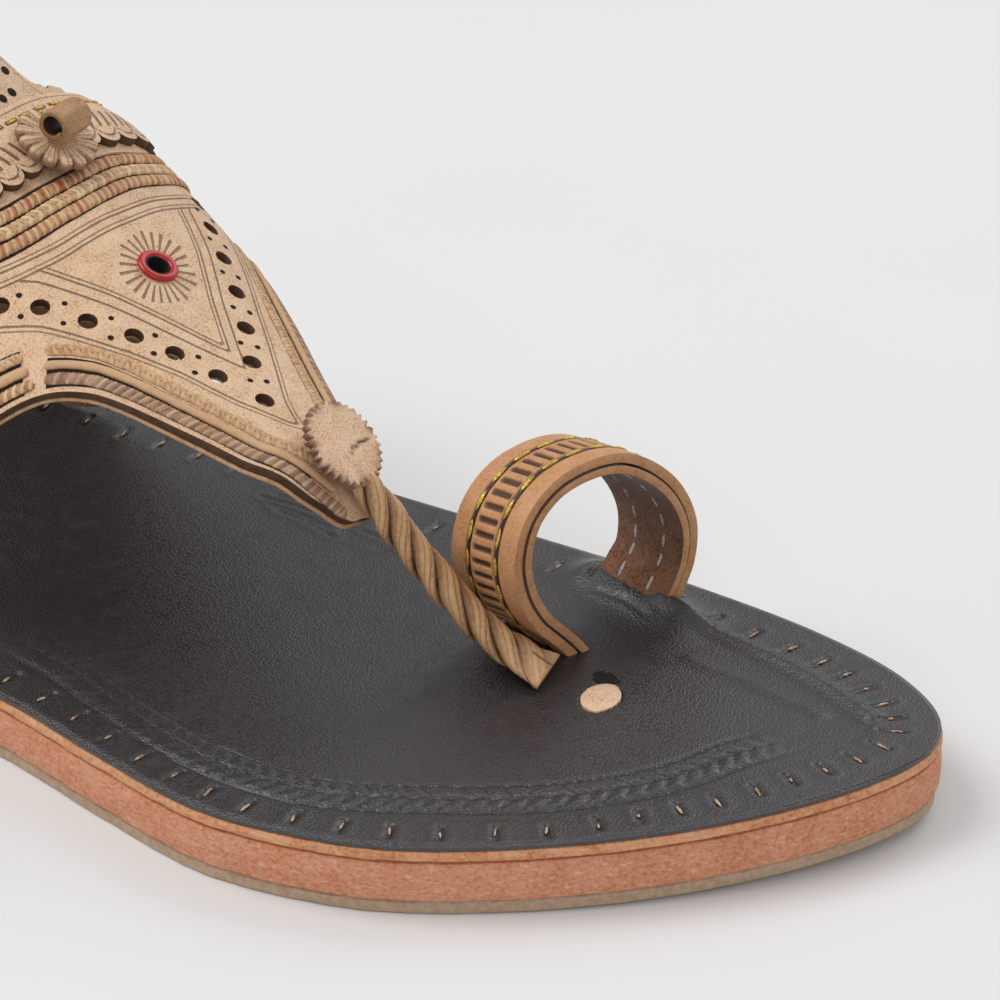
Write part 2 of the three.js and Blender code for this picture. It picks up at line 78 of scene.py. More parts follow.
# Sole
SOLE_PLAN = (
    (-141.4, 9), (-134, -10), (-118, -23), (-90, -28), (-60, -29.5), (-25, -31.5),
    (8, -37.8), (31, -45), (52, -50.5), (68, -49.8), (83, -45.8), (106, -31.6),
    (125, -14), (137.5, 4), (141.3, 16.5), (138.5, 26), (127, 36.3), (108, 44),
    (84, 48.4), (54, 50.3), (24, 51.7), (-5, 53.5), (-28, 54), (-50, 51.5),
    (-75, 47.5), (-100, 44.5), (-120, 39.5), (-135, 27),
)
TOE_SPRING = 2.0
SPRING_FROM = 85.0
TOE_TIP = 141.3
HEEL_RISE = 7.0
WAIST_FRONT = -20.0
WAIST_BACK = -78.0
HEEL_BREAST = -82.0
TOP_SOLE_TOP = 11.2
INSOLE_TOP = 12.1
SOLE_PLANE = 11.6
FOOT_INSET = 4.0
FINE_FROM = -58.0
FAR = 999.0

# Sections of the upper: x, crown z, crown y, lateral half width, medial half width
SECTIONS = np.array((
    (-100, 133, 10, 41, 27.5),
    (-80, 121, 12.5, 43, 29),
    (-60, 106.5, 16, 45, 30.5),
    (-40, 89, 19.2, 46, 31.5),
    (-30, 79.8, 20.5, 46, 32),
    (-20, 75.3, 21, 46, 32),
    (0, 66, 15.6, 46, 31),
    (20, 56.3, 8.3, 46, 27),
    (36, 50, 2.4, 46, 19),
    (44, 46.8, 0.4, 46, 15),
    (50, 38.2, 0.6, 45, 13),
    (55, 30.5, 1.8, 43, 12),
    (60, 24, 3, 42, 11),
), float)
LATERAL_ROUNDNESS = 2.1
MEDIAL_ROUNDNESS = 3.0
WIDEST_AT = 0.35
MIDLINE = 0.8
FRONT_EDGE = np.array((
    (0, 54.5), (3.5, 53.3), (6.5, 50), (10, 46.1), (12.5, 41.3), (15, 35.8), (17.3, 30.7),
    (19.6, 25.9), (21.8, 21.4), (24.3, 16.7), (27.9, 11.3), (34.4, 4.9), (43.4, -1.2),
    (55, -8.6), (95, -36),
), float)
REAR_EDGE = np.array((
    (0, -56), (5, -54), (8.5, -48), (10.5, -40), (12, -33.5), (17, -31.5), (25, -33.5),
    (45, -46), (80, -79), (112, -93),
), float)
CROSS_LINE = np.array((
    (-100, -68), (-70, -46), (-45, -28.5), (-21.2, -15.4), (-7.7, -12.4), (6.6, -11.4),
    (16, -10.2), (22, -11), (32, -14.5), (45, -23), (70, -44), (100, -66),
), float)
LATERAL_HOLES = ((24.1, -5.3), (17, -9.2), (10.8, -13.6), (4, -18.9), (-3.3, -23.9), (-9, -29.1))
MEDIAL_HOLES = (
    (31.8, -1.1), (25.5, 2.8), (20.3, 7.3), (14.4, 11.8), (8.3, 15.3), (2.3, 19), (-4, 23.5),
)
TONGUE_HOLES = tuple((x, MIDLINE + side * 4.2) for x in (-34, -42, -50) for side in (-1, 1))
TONGUE_PINS = ((-31.6, 7.2), (-31.4, 4.3), (-34.5, 10), (-38.5, 10.2), (-42.5, 10.2))
HOLE_RADIUS = 1.6
TONGUE_HOLE_RADIUS = 1.5
EYELET_HOLE_RADIUS = 2.15
EYELET_AT = (5, -0.2)
PIN_OFFSET = 1.6
PIN_HEIGHT = 0.05
TONGUE_PIN_SIZE = 1.7


class Braid(Enum):
    """How a row of trim is worked."""

    TWIST = "two strips twisted together"
    HERRINGBONE = "flat plait with slanted strips on both sides"
    SMOOTH = "plain round cord"
    WOVEN = "fine woven cord"


class Face(Enum):
    """Side of a leather wall, with its material's place in the piece."""

    TOP = 0
    RIM = 1
    UNDER = 2


# Tables and curves


def column(table: np.ndarray, index: int, t: np.ndarray | float) -> np.ndarray:
    """Smooth value of a table's column, through every row.

    Args:
        table: rows whose first number is the place.
        index: column wanted.
        t: places.

    Returns:
        The values at those places.
    """
    t = np.asarray(t, float)
    key, value = table[:, 0], table[:, index]
    slope = np.empty(len(key))
    slope[1:-1] = (value[2:] - value[:-2]) / (key[2:] - key[:-2])
    slope[0] = (value[1] - value[0]) / (key[1] - key[0])
    slope[-1] = (value[-1] - value[-2]) / (key[-1] - key[-2])
    k = np.clip(np.searchsorted(key, t, side="left") - 1, 0, len(key) - 2)
    span = key[k + 1] - key[k]
    f = np.clip((t - key[k]) / span, 0, 1)
    f2, f3 = f * f, f * f * f
    return (
        (2 * f3 - 3 * f2 + 1) * value[k] + (f3 - 2 * f2 + f) * span * slope[k]
        + (3 * f2 - 2 * f3) * value[k + 1] + (f3 - f2) * span * slope[k + 1]
    )


def smoothstep(t: np.ndarray | float) -> np.ndarray:
    """Goes from 0 to 1 as t does, level at both ends."""
    c = np.clip(t, 0, 1)
    return c * c * (3 - 2 * c)


def bell(distance: np.ndarray, width: float) -> np.ndarray:
    """Round bump of height 1 that fades out over a width."""
    return np.exp(-(distance / width) ** 2)


def rounded_curve(points: Sequence[Sequence[float]], closed: bool, per_span: int) -> np.ndarray:
    """Centripetal Catmull-Rom curve through the points.

    Args:
        points: places of any dimension.
        closed: whether the curve returns to its start.
        per_span: samples between two points.

    Returns:
        The samples, without a repeat of the start where closed.
    """
    p = np.asarray(points, float)
    n = len(p)
    if closed:
        p = np.vstack((p[-1], p, p[0], p[1]))
    else:
        p = np.vstack((2 * p[0] - p[1], p, 2 * p[-1] - p[-2]))
    spans = n if closed else n - 1
    t = (np.arange(per_span) / per_span)[:, None]
    rows = []
    for k in range(spans):
        a, b, c, d = p[k:k + 4]
        d0, d1, d2 = (max(1e-4, np.linalg.norm(v) ** 0.5) for v in (b - a, c - b, d - c))
        m1 = d1 * ((b - a) / d0 - (c - a) / (d0 + d1) + (c - b) / d1)
        m2 = d1 * ((c - b) / d1 - (d - b) / (d1 + d2) + (d - c) / d2)
        rows.append(
            b + m1 * t + (3 * (c - b) - 2 * m1 - m2) * t ** 2 + (2 * (b - c) + m1 + m2) * t ** 3
        )
    if not closed:
        rows.append(p[-2][None])
    return np.vstack(rows)


def spread(points: np.ndarray, count: int, weight: np.ndarray | None = None) -> np.ndarray:
    """Resamples a polyline at even lengths.

    Args:
        points: the polyline.
        count: how many samples.
        weight: how dense the samples are along each stretch, 1 where left out.

    Returns:
        The samples, both ends among them.
    """
    step = np.linalg.norm(np.diff(points, axis=0), axis=1)
    if weight is not None:
        step = step * weight
    length = np.concatenate(([0], np.cumsum(step)))
    at = np.linspace(0, length[-1], count)
    return np.stack([np.interp(at, length, points[:, k]) for k in range(points.shape[1])], 1)


def distance_to(points: np.ndarray, line: np.ndarray) -> np.ndarray:
    """Distance from each point to a polyline.

    Args:
        points: places, n by 3.
        line: corners of the polyline, m by 3.

    Returns:
        The n distances.
    """
    best = np.full(len(points), 1e9)
    for a, b in zip(line[:-1], line[1:]):
        ab = b - a
        f = np.clip((points - a) @ ab / (ab @ ab), 0, 1)
        best = np.minimum(best, ((points - a - f[:, None] * ab) ** 2).sum(1))
    return np.sqrt(best)


def unit(vectors: np.ndarray) -> np.ndarray:
    """Vectors of length 1 in the same directions."""
    return vectors / np.linalg.norm(vectors, axis=-1, keepdims=True)


def running_length(points: np.ndarray) -> np.ndarray:
    """Length along a polyline at each of its points."""
    return np.concatenate(([0], np.cumsum(np.linalg.norm(np.diff(points, axis=0), axis=1))))


def ripple(seed: int, at: np.ndarray, waves: Sequence[float]) -> np.ndarray:
    """Steady irregular wave along a length, about -1 to 1.

    Args:
        seed: chooses the phases.
        at: places along the length.
        waves: wavelengths.

    Returns:
        Its value at each place.
    """
    phases = np.random.default_rng(seed).uniform(0, 2 * math.pi, len(waves))
    return sum(np.sin(2 * math.pi * at / w + p) for w, p in zip(waves, phases)) / len(waves)


# Sole plan and last


def lift(x: np.ndarray | float) -> np.ndarray:
    """Height that the heel rise and the toe spring add at x."""
    spring = np.maximum(0, (np.asarray(x, float) - SPRING_FROM) / (TOE_TIP - SPRING_FROM))
    rise = smoothstep((WAIST_FRONT - np.asarray(x, float)) / (WAIST_FRONT - WAIST_BACK))
    return TOE_SPRING * spring ** 2 + HEEL_RISE * rise


@dataclass
class SolePlan:
    """Outline of the sole, split into its lateral and medial sides."""

    ring: np.ndarray = field(init=False)

    def __post_init__(self) -> None:
        """Samples the closed outline."""
        self.ring = rounded_curve(SOLE_PLAN, True, 40)

    def sides(self, inset: float) -> tuple[np.ndarray, np.ndarray]:
        """Lateral and medial sides, heel to toe, moved inwards by an inset."""
        along = unit(np.roll(self.ring, -1, 0) - np.roll(self.ring, 1, 0))
        moved = self.ring + inset * np.stack((-along[:, 1], along[:, 0]), 1)
        heel = int(moved[:, 0].argmin())
        turn = np.roll(moved, -heel, 0)
        toe = int(turn[:, 0].argmax())
        return turn[:toe + 1], np.vstack((turn[toe:], turn[:1]))[::-1]

    def spaced(self, inset: float, count: int, fine: float = 1.0) -> tuple[np.ndarray, np.ndarray]:
        """Both sides at even lengths.

        Args:
            inset: how far inside the sole's edge.
            count: points on each side.
            fine: how many times denser the points are in front of the heel.

        Returns:
            Lateral and medial points, both from the heel to the toe.
        """
        result = []
        for side in self.sides(inset):
            middle = (side[1:, 0] + side[:-1, 0]) / 2
            result.append(spread(side, count, np.where(middle > FINE_FROM, fine, 1.0)))
        return result[0], result[1]

    def y_at(self, inset: float, side: int, x: np.ndarray) -> np.ndarray:
        """Edge's y at x on one side, minus for the lateral one."""
        line = self.sides(inset)[0 if side < 0 else 1]
        return np.interp(x, line[:, 0], line[:, 1])


@dataclass
class Last:
    """Outer face of the upper: places are x and the length s along the wall from the crown."""

    plan: SolePlan
    steps: int = 40
    reach: float = 0.8
    passes: int = 12

    def sections(self, x: np.ndarray, side: np.ndarray) -> tuple[np.ndarray, np.ndarray, np.ndarray]:
        """Half sections as lengths, y and z, one row for each x."""
        crown_z, crown_y = column(SECTIONS, 1, x), column(SECTIONS, 2, x)
        lateral = side < 0
        width = np.where(lateral, column(SECTIONS, 3, x), column(SECTIONS, 4, x))
        power = np.where(lateral, 2 / LATERAL_ROUNDNESS, 2 / MEDIAL_ROUNDNESS)[:, None]
        widest = SOLE_PLANE + WIDEST_AT * (crown_z - SOLE_PLANE)
        foot_z = lift(x) + INSOLE_TOP + 3 * GAP
        edge = np.where(lateral, *(self.plan.y_at(FOOT_INSET, way, x) for way in (-1, 1)))
        foot = np.abs(edge - crown_y)
        angle = math.pi / 2 * np.arange(self.steps + 1) / self.steps
        sine, cosine = np.sin(angle)[None], np.abs(np.cos(angle))[None]
        cosine[0, -1] = 0
        w = width[:, None] * sine ** power
        z = widest[:, None] + (crown_z - widest)[:, None] * cosine ** power
        f = (np.arange(1, self.steps // 2 + 1) * 2 / self.steps)[None]
        w = np.hstack((w, width[:, None] + (foot - width)[:, None] * f * f))
        z = np.hstack((z, widest[:, None] + (foot_z - widest)[:, None] * f))
        length = np.cumsum(np.hypot(np.diff(w), np.diff(z)), 1)
        length = np.hstack((np.zeros((len(x), 1)), length))
        return length, crown_y[:, None] + side[:, None] * w, z

    def point(self, x: np.ndarray, s: np.ndarray) -> np.ndarray:
        """Places on the wall's outer face, n by 3."""
        x, s = (np.asarray(v, float).ravel() for v in np.broadcast_arrays(x, s))
        length, y, z = self.sections(x, np.where(s < 0, -1, 1))
        d = np.minimum(np.abs(s), length[:, -1])[:, None]
        k = np.clip((length <= d).sum(1) - 1, 0, length.shape[1] - 2)[:, None]
        low, high = np.take_along_axis(length, k, 1), np.take_along_axis(length, k + 1, 1)
        f = (d - low) / np.maximum(high - low, 1e-9)
        place = [np.take_along_axis(v, k, 1) * (1 - f) + np.take_along_axis(v, k + 1, 1) * f
                 for v in (y, z)]
        return np.column_stack((x, place[0][:, 0], place[1][:, 0]))

    def normal(self, x: np.ndarray, s: np.ndarray) -> np.ndarray:
        """Outward directions of the wall's face."""
        x, s = (np.asarray(v, float).ravel() for v in np.broadcast_arrays(x, s))
        along = self.point(x + self.reach, s) - self.point(x - self.reach, s)
        across = self.point(x, s + self.reach) - self.point(x, s - self.reach)
        return unit(np.cross(along, across))

    def seats(self, x: np.ndarray, s: np.ndarray) -> tuple[np.ndarray, np.ndarray]:
        """Points and outward directions of places, in the shape of x."""
        shape = (*np.shape(x), 3)
        return self.point(x, s).reshape(shape), self.normal(x, s).reshape(shape)

    def wall_length(self, x: np.ndarray, side: np.ndarray) -> np.ndarray:
        """Length of the wall from the crown to the foot."""
        x, side = (np.asarray(v, float).ravel() for v in np.broadcast_arrays(x, side))
        return self.sections(x, side)[0][:, -1]

    def edge(self, table: np.ndarray, share: np.ndarray) -> np.ndarray:
        """x of an edge on the lines that run a share of the way down to the foot."""
        limit = table[-1, 0]
        side = np.where(share < 0, -1, 1)
        x = column(table, 1, np.abs(share) * limit)
        for _ in range(self.passes):
            s = share * self.wall_length(x, side)
            reach = np.where(np.abs(share) > 0.999, limit, np.minimum(limit, np.abs(s - MIDLINE)))
            x = 0.5 * x + 0.5 * column(table, 1, reach)
        return x

    def frame(self, x: float, s: float, height: float) -> Matrix:
        """Seat on the wall: its Z is the wall's normal, its origin a height above the wall.

        Args:
            x: place along the foot.
            s: place along the wall.
            height: above the wall's face.

        Returns:
            The seat's matrix in millimetres.
        """
        at, normal = (Vector(v) for v in self.seats(x, s))
        turn = Vector((0, 0, 1)).rotation_difference(normal).to_matrix().to_4x4()
        return Matrix.Translation(at + normal * height) @ turn


# Meshes


COPY_ANGLE = 60.0


def deselect() -> None:
    """Clears the selection, because an operator acts on all that is selected."""
    if bpy.context.mode != "OBJECT":
        bpy.ops.object.mode_set(mode="OBJECT")
    bpy.ops.object.select_all(action="DESELECT")


def activate(obj: bpy.types.Object) -> None:
    """Selects one object alone and makes it the active one."""
    deselect()
    obj.select_set(True)
    bpy.context.view_layer.objects.active = obj


def mesh_piece(
    name: str,
    points: np.ndarray,
    faces: Sequence[np.ndarray],
    values: dict[str, np.ndarray] | None = None,
    slots: np.ndarray | None = None,
    sharp_angle: float = 40.0,
) -> bpy.types.Object:
    """Makes a piece from points in millimetres.

    Args:
        name: the piece's name.
        points: n by 3.
        faces: arrays of vertex numbers, each array with faces of one size.
        values: number at each point, by attribute name.
        slots: material place of each face.
        sharp_angle: in degrees, past which an edge stays sharp.

    Returns:
        The object, at the origin.
    """
    used = np.zeros(len(points), bool)
    for block in faces:
        used[block.ravel()] = True
    renumber = np.cumsum(used) - 1
    points = points[used]
    loops = np.concatenate([renumber[block].ravel() for block in faces])
    sizes = np.concatenate([np.full(len(block), block.shape[1]) for block in faces])
    starts = np.concatenate(([0], np.cumsum(sizes)[:-1]))
    mesh = bpy.data.meshes.new(name)
    mesh.vertices.add(len(points))
    mesh.vertices.foreach_set("co", ((points + (0, CENTRE_Y, 0)) * MM).astype(np.float32).ravel())
    mesh.loops.add(len(loops))
    mesh.loops.foreach_set("vertex_index", loops.astype(np.int32))
    mesh.polygons.add(len(sizes))
    mesh.polygons.foreach_set("loop_start", starts.astype(np.int32))
    if slots is not None:
        mesh.polygons.foreach_set("material_index", slots.astype(np.int32))
    mesh.update(calc_edges=True)
    for key, value in (values or {}).items():
        wide = value.ndim == 2
        attribute = mesh.attributes.new(key, "FLOAT_VECTOR" if wide else "FLOAT", "POINT")
        data = value[used].astype(np.float32).ravel()
        attribute.data.foreach_set("vector" if wide else "value", data)
    mesh.validate()
    obj = bpy.data.objects.new(name, mesh)
    bpy.context.scene.collection.objects.link(obj)
    activate(obj)
    bpy.ops.object.shade_smooth_by_angle(angle=math.radians(sharp_angle))
    return obj


@dataclass
class Shell:
    """Leather wall over a grid of points, with rims along its edges and round its holes."""

    points: np.ndarray
    normals: np.ndarray
    thickness: float
    values: dict[str, np.ndarray] = field(default_factory=dict)
    rounding: float = 0.25
    keep: np.ndarray = field(init=False)

    def __post_init__(self) -> None:
        """Starts with no hole."""
        columns, rows = self.points.shape[:2]
        self.keep = np.ones((columns - 1, rows - 1), bool)

    def punch(self, centre: np.ndarray, axis: np.ndarray, radius: float) -> None:
        """Cuts a round hole and draws the points at its rim onto the circle.

        Args:
            centre: middle of the hole.
            axis: its direction.
            radius: its radius.
        """
        offset = self.points - centre
        flat = offset - (offset @ axis)[..., None] * axis
        reach = np.linalg.norm(flat, axis=2)
        near = np.linalg.norm(offset, axis=2) < 2.5 * radius + 1
        middle = (flat[:-1, :-1] + flat[1:, :-1] + flat[:-1, 1:] + flat[1:, 1:]) / 4
        close = near[:-1, :-1] & near[1:, 1:]
        gone = close & (np.linalg.norm(middle, axis=2) < radius)
        self.keep &= ~gone
        on_gone, on_kept = np.zeros(reach.shape, bool), np.zeros(reach.shape, bool)
        for a, b in ((0, 0), (0, 1), (1, 0), (1, 1)):
            shape = (slice(a, a + gone.shape[0]), slice(b, b + gone.shape[1]))
            on_gone[shape] |= gone
            on_kept[shape] |= self.keep
        rim = on_gone & on_kept
        move = (radius / np.maximum(reach[rim], 1e-6) - 1)[:, None] * flat[rim]
        self.points[rim] += move

    def piece(self, name: str) -> bpy.types.Object:
        """Makes the closed wall, whose faces have the material places of Face."""
        columns, rows = self.points.shape[:2]
        number = np.arange(columns * rows).reshape(columns, rows)
        quads = np.stack((number[:-1, :-1], number[1:, :-1], number[1:, 1:], number[:-1, 1:]), -1)
        quads = quads[self.keep]
        points, normals = self.points.reshape(-1, 3), self.normals.reshape(-1, 3)
        a, b = points[quads[:, 1]] - points[quads[:, 0]], points[quads[:, 3]] - points[quads[:, 0]]
        if (np.cross(a, b) * normals[quads[:, 0]]).sum() < 0:
            quads = quads[:, ::-1]
        edges = np.vstack([quads[:, (k, (k + 1) % 4)] for k in range(4)])
        key = edges[:, 0] * points.shape[0] + edges[:, 1]
        back = edges[:, 1] * points.shape[0] + edges[:, 0]
        rim = edges[~np.isin(key, back)]
        out = np.zeros_like(points)
        side = np.cross(points[rim[:, 1]] - points[rim[:, 0]], normals[rim[:, 0]])
        side /= np.maximum(np.linalg.norm(side, axis=1), 1e-9)[:, None]
        np.add.at(out, rim[:, 0], side)
        np.add.at(out, rim[:, 1], side)
        corner = np.unique(rim)
        out = out[corner]
        out /= np.maximum(np.linalg.norm(out, axis=1), 1e-9)[:, None]
        place = np.zeros(len(points), int)
        place[corner] = np.arange(len(corner))
        r = self.rounding
        levels = [(r, 0.35 * r), (2.2 * r, 0.5 * r), (self.thickness - 1.5 * r, 0.5 * r)]
        layers = [points, points - normals * self.thickness]
        layers += [points[corner] + out * push - normals[corner] * down for down, push in levels]
        total = len(points)
        faces, slots = [quads, quads[:, ::-1] + total], [Face.TOP, Face.UNDER]
        rings = [rim] + [2 * total + k * len(corner) + place[rim] for k in range(len(levels))]
        rings.append(rim + total)
        for upper, lower in zip(rings[:-1], rings[1:]):
            faces.append(np.column_stack((upper[:, 1], upper[:, 0], lower[:, 0], lower[:, 1])))
            slots.append(Face.RIM)
        values = {}
        for label, value in self.values.items():
            flat = value.reshape(len(points), -1)
            rows_of = [flat, flat] + [flat[corner]] * len(levels)
            values[label] = np.vstack(rows_of) if value.ndim == 3 else np.vstack(rows_of)[:, 0]
        index = np.concatenate([np.full(len(f), s.value) for f, s in zip(faces, slots)])
        return mesh_piece(name, np.vstack(layers), faces, values, index)


def sweep(rings: np.ndarray) -> list[np.ndarray]:
    """Faces over rings of points, numbered ring by ring, that face outward.

    Args:
        rings: n rings of m points, n by m by 3.

    Returns:
        Quads, then the two end faces.
    """
    n, m = rings.shape[:2]
    number = np.arange(n * m).reshape(n, m)
    after = np.roll(number, -1, 1)
    quads = np.stack((number[:-1], after[:-1], after[1:], number[1:]), -1).reshape(-1, 4)
    middle = rings.mean(1)
    along = middle[1] - middle[0]
    first = np.cross(rings[0] - middle[0], np.roll(rings[0], -1, 0) - middle[0]).sum(0)
    outward = first @ along > 0
    if not outward:
        quads = quads[:, ::-1]
    start, end = number[0], number[-1]
    if outward:
        return [quads, start[None, ::-1], end[None]]
    return [quads, start[None], end[None, ::-1]]


Body = tuple[np.ndarray, list[np.ndarray], dict[str, np.ndarray]]


def joined(name: str, parts: Sequence[Body], sharp_angle: float = 50.0) -> bpy.types.Object:
    """One piece from several closed bodies.

    Args:
        name: the piece's name.
        parts: points, faces and values of each body.
        sharp_angle: past which an edge stays sharp.

    Returns:
        The object.
    """
    points, by_size, values, start = [], {}, {}, 0
    for body, faces, numbers in parts:
        points.append(body)
        for block in faces:
            by_size.setdefault(block.shape[1], []).append(block + start)
        for key, value in numbers.items():
            values.setdefault(key, []).append(value)
        start += len(body)
    blocks = [np.vstack(v) for v in by_size.values()]
    merged = {key: np.concatenate(v) for key, v in values.items()}
    return mesh_piece(name, np.vstack(points), blocks, merged, None, sharp_angle)


def template(build: Callable[[], None]) -> tuple[np.ndarray, list[np.ndarray]]:
    """Runs a build with bpy.ops and takes its mesh, in millimetres, as a pattern for copies.

    Args:
        build: adds and shapes one primitive.

    Returns:
        Its points and faces.
    """
    deselect()
    build()
    obj = bpy.context.view_layer.objects.active
    points = np.array([v.co for v in obj.data.vertices])
    sizes = sorted({len(p.vertices) for p in obj.data.polygons})
    faces = [np.array([list(p.vertices) for p in obj.data.polygons if len(p.vertices) == n])
             for n in sizes]
    bpy.data.objects.remove(obj)
    return points, faces


def placed(points: np.ndarray, frame: Matrix) -> np.ndarray:
    """Points moved into a frame, n by 3."""
    m = np.array(frame)
    return points.reshape(-1, 3) @ m[:3, :3].T + m[:3, 3]


def copies(name: str, pattern: tuple[np.ndarray, list[np.ndarray]],
           frames: Sequence[Matrix]) -> bpy.types.Object:
    """One piece with a copy of a pattern at each frame.

    Args:
        name: the piece's name.
        pattern: points and faces, in millimetres.
        frames: where each copy goes.

    Returns:
        The object.
    """
    points, faces = pattern
    return joined(name, [(placed(points, frame), faces, {}) for frame in frames], COPY_ANGLE)


def basis(at: np.ndarray, along: np.ndarray, normal: np.ndarray,
          scale: Sequence[float] = (1, 1, 1)) -> Matrix:
    """Frame with X along a direction and Z near a normal.

    Args:
        at: origin.
        along: direction of X.
        normal: direction that Z leans to.
        scale: size of the three axes.

    Returns:
        The matrix.
    """
    x = Vector(along).normalized()
    y = Vector(normal).cross(x).normalized()
    z = x.cross(y)
    m = Matrix((x * scale[0], y * scale[1], z * scale[2])).transposed().to_4x4()
    m.translation = Vector(at)
    return m


def resize_points(value: Sequence[float]) -> None:
    """Scales the points of the mesh just added, about its middle."""
    bpy.ops.object.mode_set(mode="EDIT")
    bpy.ops.mesh.select_all(action="SELECT")
    bpy.ops.transform.resize(value=value)
    bpy.ops.object.mode_set(mode="OBJECT")


def bead(segments: int, rings: int, size: Sequence[float]) -> Callable[[], None]:
    """Build of a ball 1 mm across, scaled by a size."""
    def build() -> None:
        """Adds the ball and scales it."""
        bpy.ops.mesh.primitive_uv_sphere_add(segments=segments, ring_count=rings, radius=0.5)
        resize_points(size)
    return build


THREAD = bead(8, 6, (1.08, 1, 0.9))
DOT = bead(16, 8, (1, 1, 0.12))


@dataclass
class Maker:
    """Makes the pieces of one part of the sandal with the shared finishes."""

    finishes: dict[str, bpy.types.Material]

    def dress(self, piece: bpy.types.Object, slot: str, looks: Sequence[str],
              nodes: Sequence[str] = ()) -> None:
        """Gives a piece its materials and body, and hides the nodes that it stands for.

        Args:
            piece: the object.
            slot: a material slot's name; it is not used.
            looks: names of its finishes, in order.
            nodes: CAD nodes that it replaces.
        """
        for look in looks:
            piece.data.materials.append(self.finishes[look])
        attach(piece, BODY)
        if nodes:
            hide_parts(*nodes)
        purpose = ", ".join(nodes) or "trim"
        log.info("%s: %d faces, for %s", piece.name, len(piece.data.polygons), purpose)

    def dress_rings(self, name: str, node: str, rings: np.ndarray, frame: Matrix, look: str,
                    painted_shade_and_marks: np.ndarray, sharp_angle: float = 50.0) -> None:
        """Makes a leather piece from rings of points in a frame.

        Args:
            name: the piece's name.
            node: CAD node that it replaces.
            rings: n by m by 3.
            frame: where they go.
            look: name of its finish.
            painted_shade_and_marks: how dark each point is: painted shade, with dark cut edges and
                tooled marks.
            sharp_angle: past which an edge stays sharp.
        """
        body = (placed(rings, frame), sweep(rings), {"painted_shade_and_marks": painted_shade_and_marks.ravel()})
        self.dress(joined(name, [body], sharp_angle), "tan_leather", (look,), (node,))


# Finishes


def shade(red: float, green: float, blue: float) -> tuple[float, float, float, float]:
    """Linear colour of a screen colour given from 0 to 255."""
    def linear(c: float) -> float:
        """One channel."""
        c /= 255
        return c / 12.92 if c <= 0.04045 else ((c + 0.055) / 1.055) ** 2.4
    return linear(red), linear(green), linear(blue), 1.0


@dataclass
class Nodes:
    """Short calls for placing nodes in a tree."""

    tree: bpy.types.NodeTree

    def add(self, kind: str, props: dict | None = None, **inputs: object) -> bpy.types.Node:
        """Adds a node.

        Args:
            kind: its type.
            props: settings of the node.
            inputs: value or link of each named input, with _ for a space.

        Returns:
            The node.
        """
        node = self.tree.nodes.new(kind)
        for key, value in (props or {}).items():
            setattr(node, key, value)
        for key, value in inputs.items():
            self.feed(node.inputs[key.replace("_", " ")], value)
        return node

    def feed(self, socket: bpy.types.NodeSocket, value: object) -> None:
        """Sets a socket, or links another one to it."""
        if isinstance(value, bpy.types.NodeSocket):
            self.tree.links.new(value, socket)
        else:
            socket.default_value = value

    def math(self, operation: str, a: object, b: object = 0.0, clamp: bool = False) -> object:
        """Output of a Math node."""
        node = self.add("ShaderNodeMath", {"operation": operation, "use_clamp": clamp})
        self.feed(node.inputs[0], a)
        self.feed(node.inputs[1], b)
        return node.outputs[0]

    def mix(self, factor: object, a: object, b: object) -> object:
        """Output of a colour mix."""
        node = self.add("ShaderNodeMix", {"data_type": "RGBA"})
        for place, value in ((0, factor), (6, a), (7, b)):
            self.feed(node.inputs[place], value)
        return node.outputs[2]

    def ease(self, value: object, low: object, high: object, start: float = 0.0,
             end: float = 1.0) -> object:
        """Smooth step of a value from start at low to end at high."""
        node = self.add("ShaderNodeMapRange", {"interpolation_type": "SMOOTHSTEP"}, Value=value)
        for place, number in ((1, low), (2, high), (3, start), (4, end)):
            self.feed(node.inputs[place], number)
        return node.outputs[0]

    def field(self, name: str) -> object:
        """Number stored at the piece's points."""
        return self.add("ShaderNodeAttribute", {"attribute_name": name}).outputs["Fac"]

    def bump(self, depth: float, height: object) -> object:
        """Normal of a bump whose depth is in millimetres."""
        return self.add("ShaderNodeBump", None, Strength=1.0, Distance=depth * MM,
                        Height=height).outputs[0]

    def place(self, scale: object = 1.0) -> object:
        """Object coordinates, scaled."""
        where = self.add("ShaderNodeTexCoord").outputs["Object"]
        node = self.add("ShaderNodeVectorMath", {"operation": "SCALE"})
        self.feed(node.inputs[0], where)
        self.feed(node.inputs["Scale"], scale)
        return node.outputs[0]

    def noise(self, vector: object, detail: float = 2.0, rough: float = 0.5) -> object:
        """Noise of about 0 to 1."""
        node = self.add("ShaderNodeTexNoise", None, Vector=vector, Scale=1.0, Detail=detail,
                        Roughness=rough)
        return node.outputs[0]


def new_group(name: str, inputs: Sequence[tuple[str, str, object]],
              outputs: Sequence[tuple[str, str]]) -> tuple[Nodes, object, object]:
    """Starts a shader node group.

    Args:
        name: the group's name.
        inputs: name, socket type and default of each input.
        outputs: name and socket type of each output.

    Returns:
        Its nodes, the input node's outputs and the output node's inputs.
    """
    tree = bpy.data.node_groups.new(name, "ShaderNodeTree")
    for label, kind, default in inputs:
        socket = tree.interface.new_socket(name=label, in_out="INPUT", socket_type=kind)
        socket.default_value = default
    for label, kind in outputs:
        tree.interface.new_socket(name=label, in_out="OUTPUT", socket_type=kind)
    nodes = Nodes(tree)
    return nodes, nodes.add("NodeGroupInput").outputs, nodes.add("NodeGroupOutput").inputs


COLOR, NUMBER = "NodeSocketColor", "NodeSocketFloat"


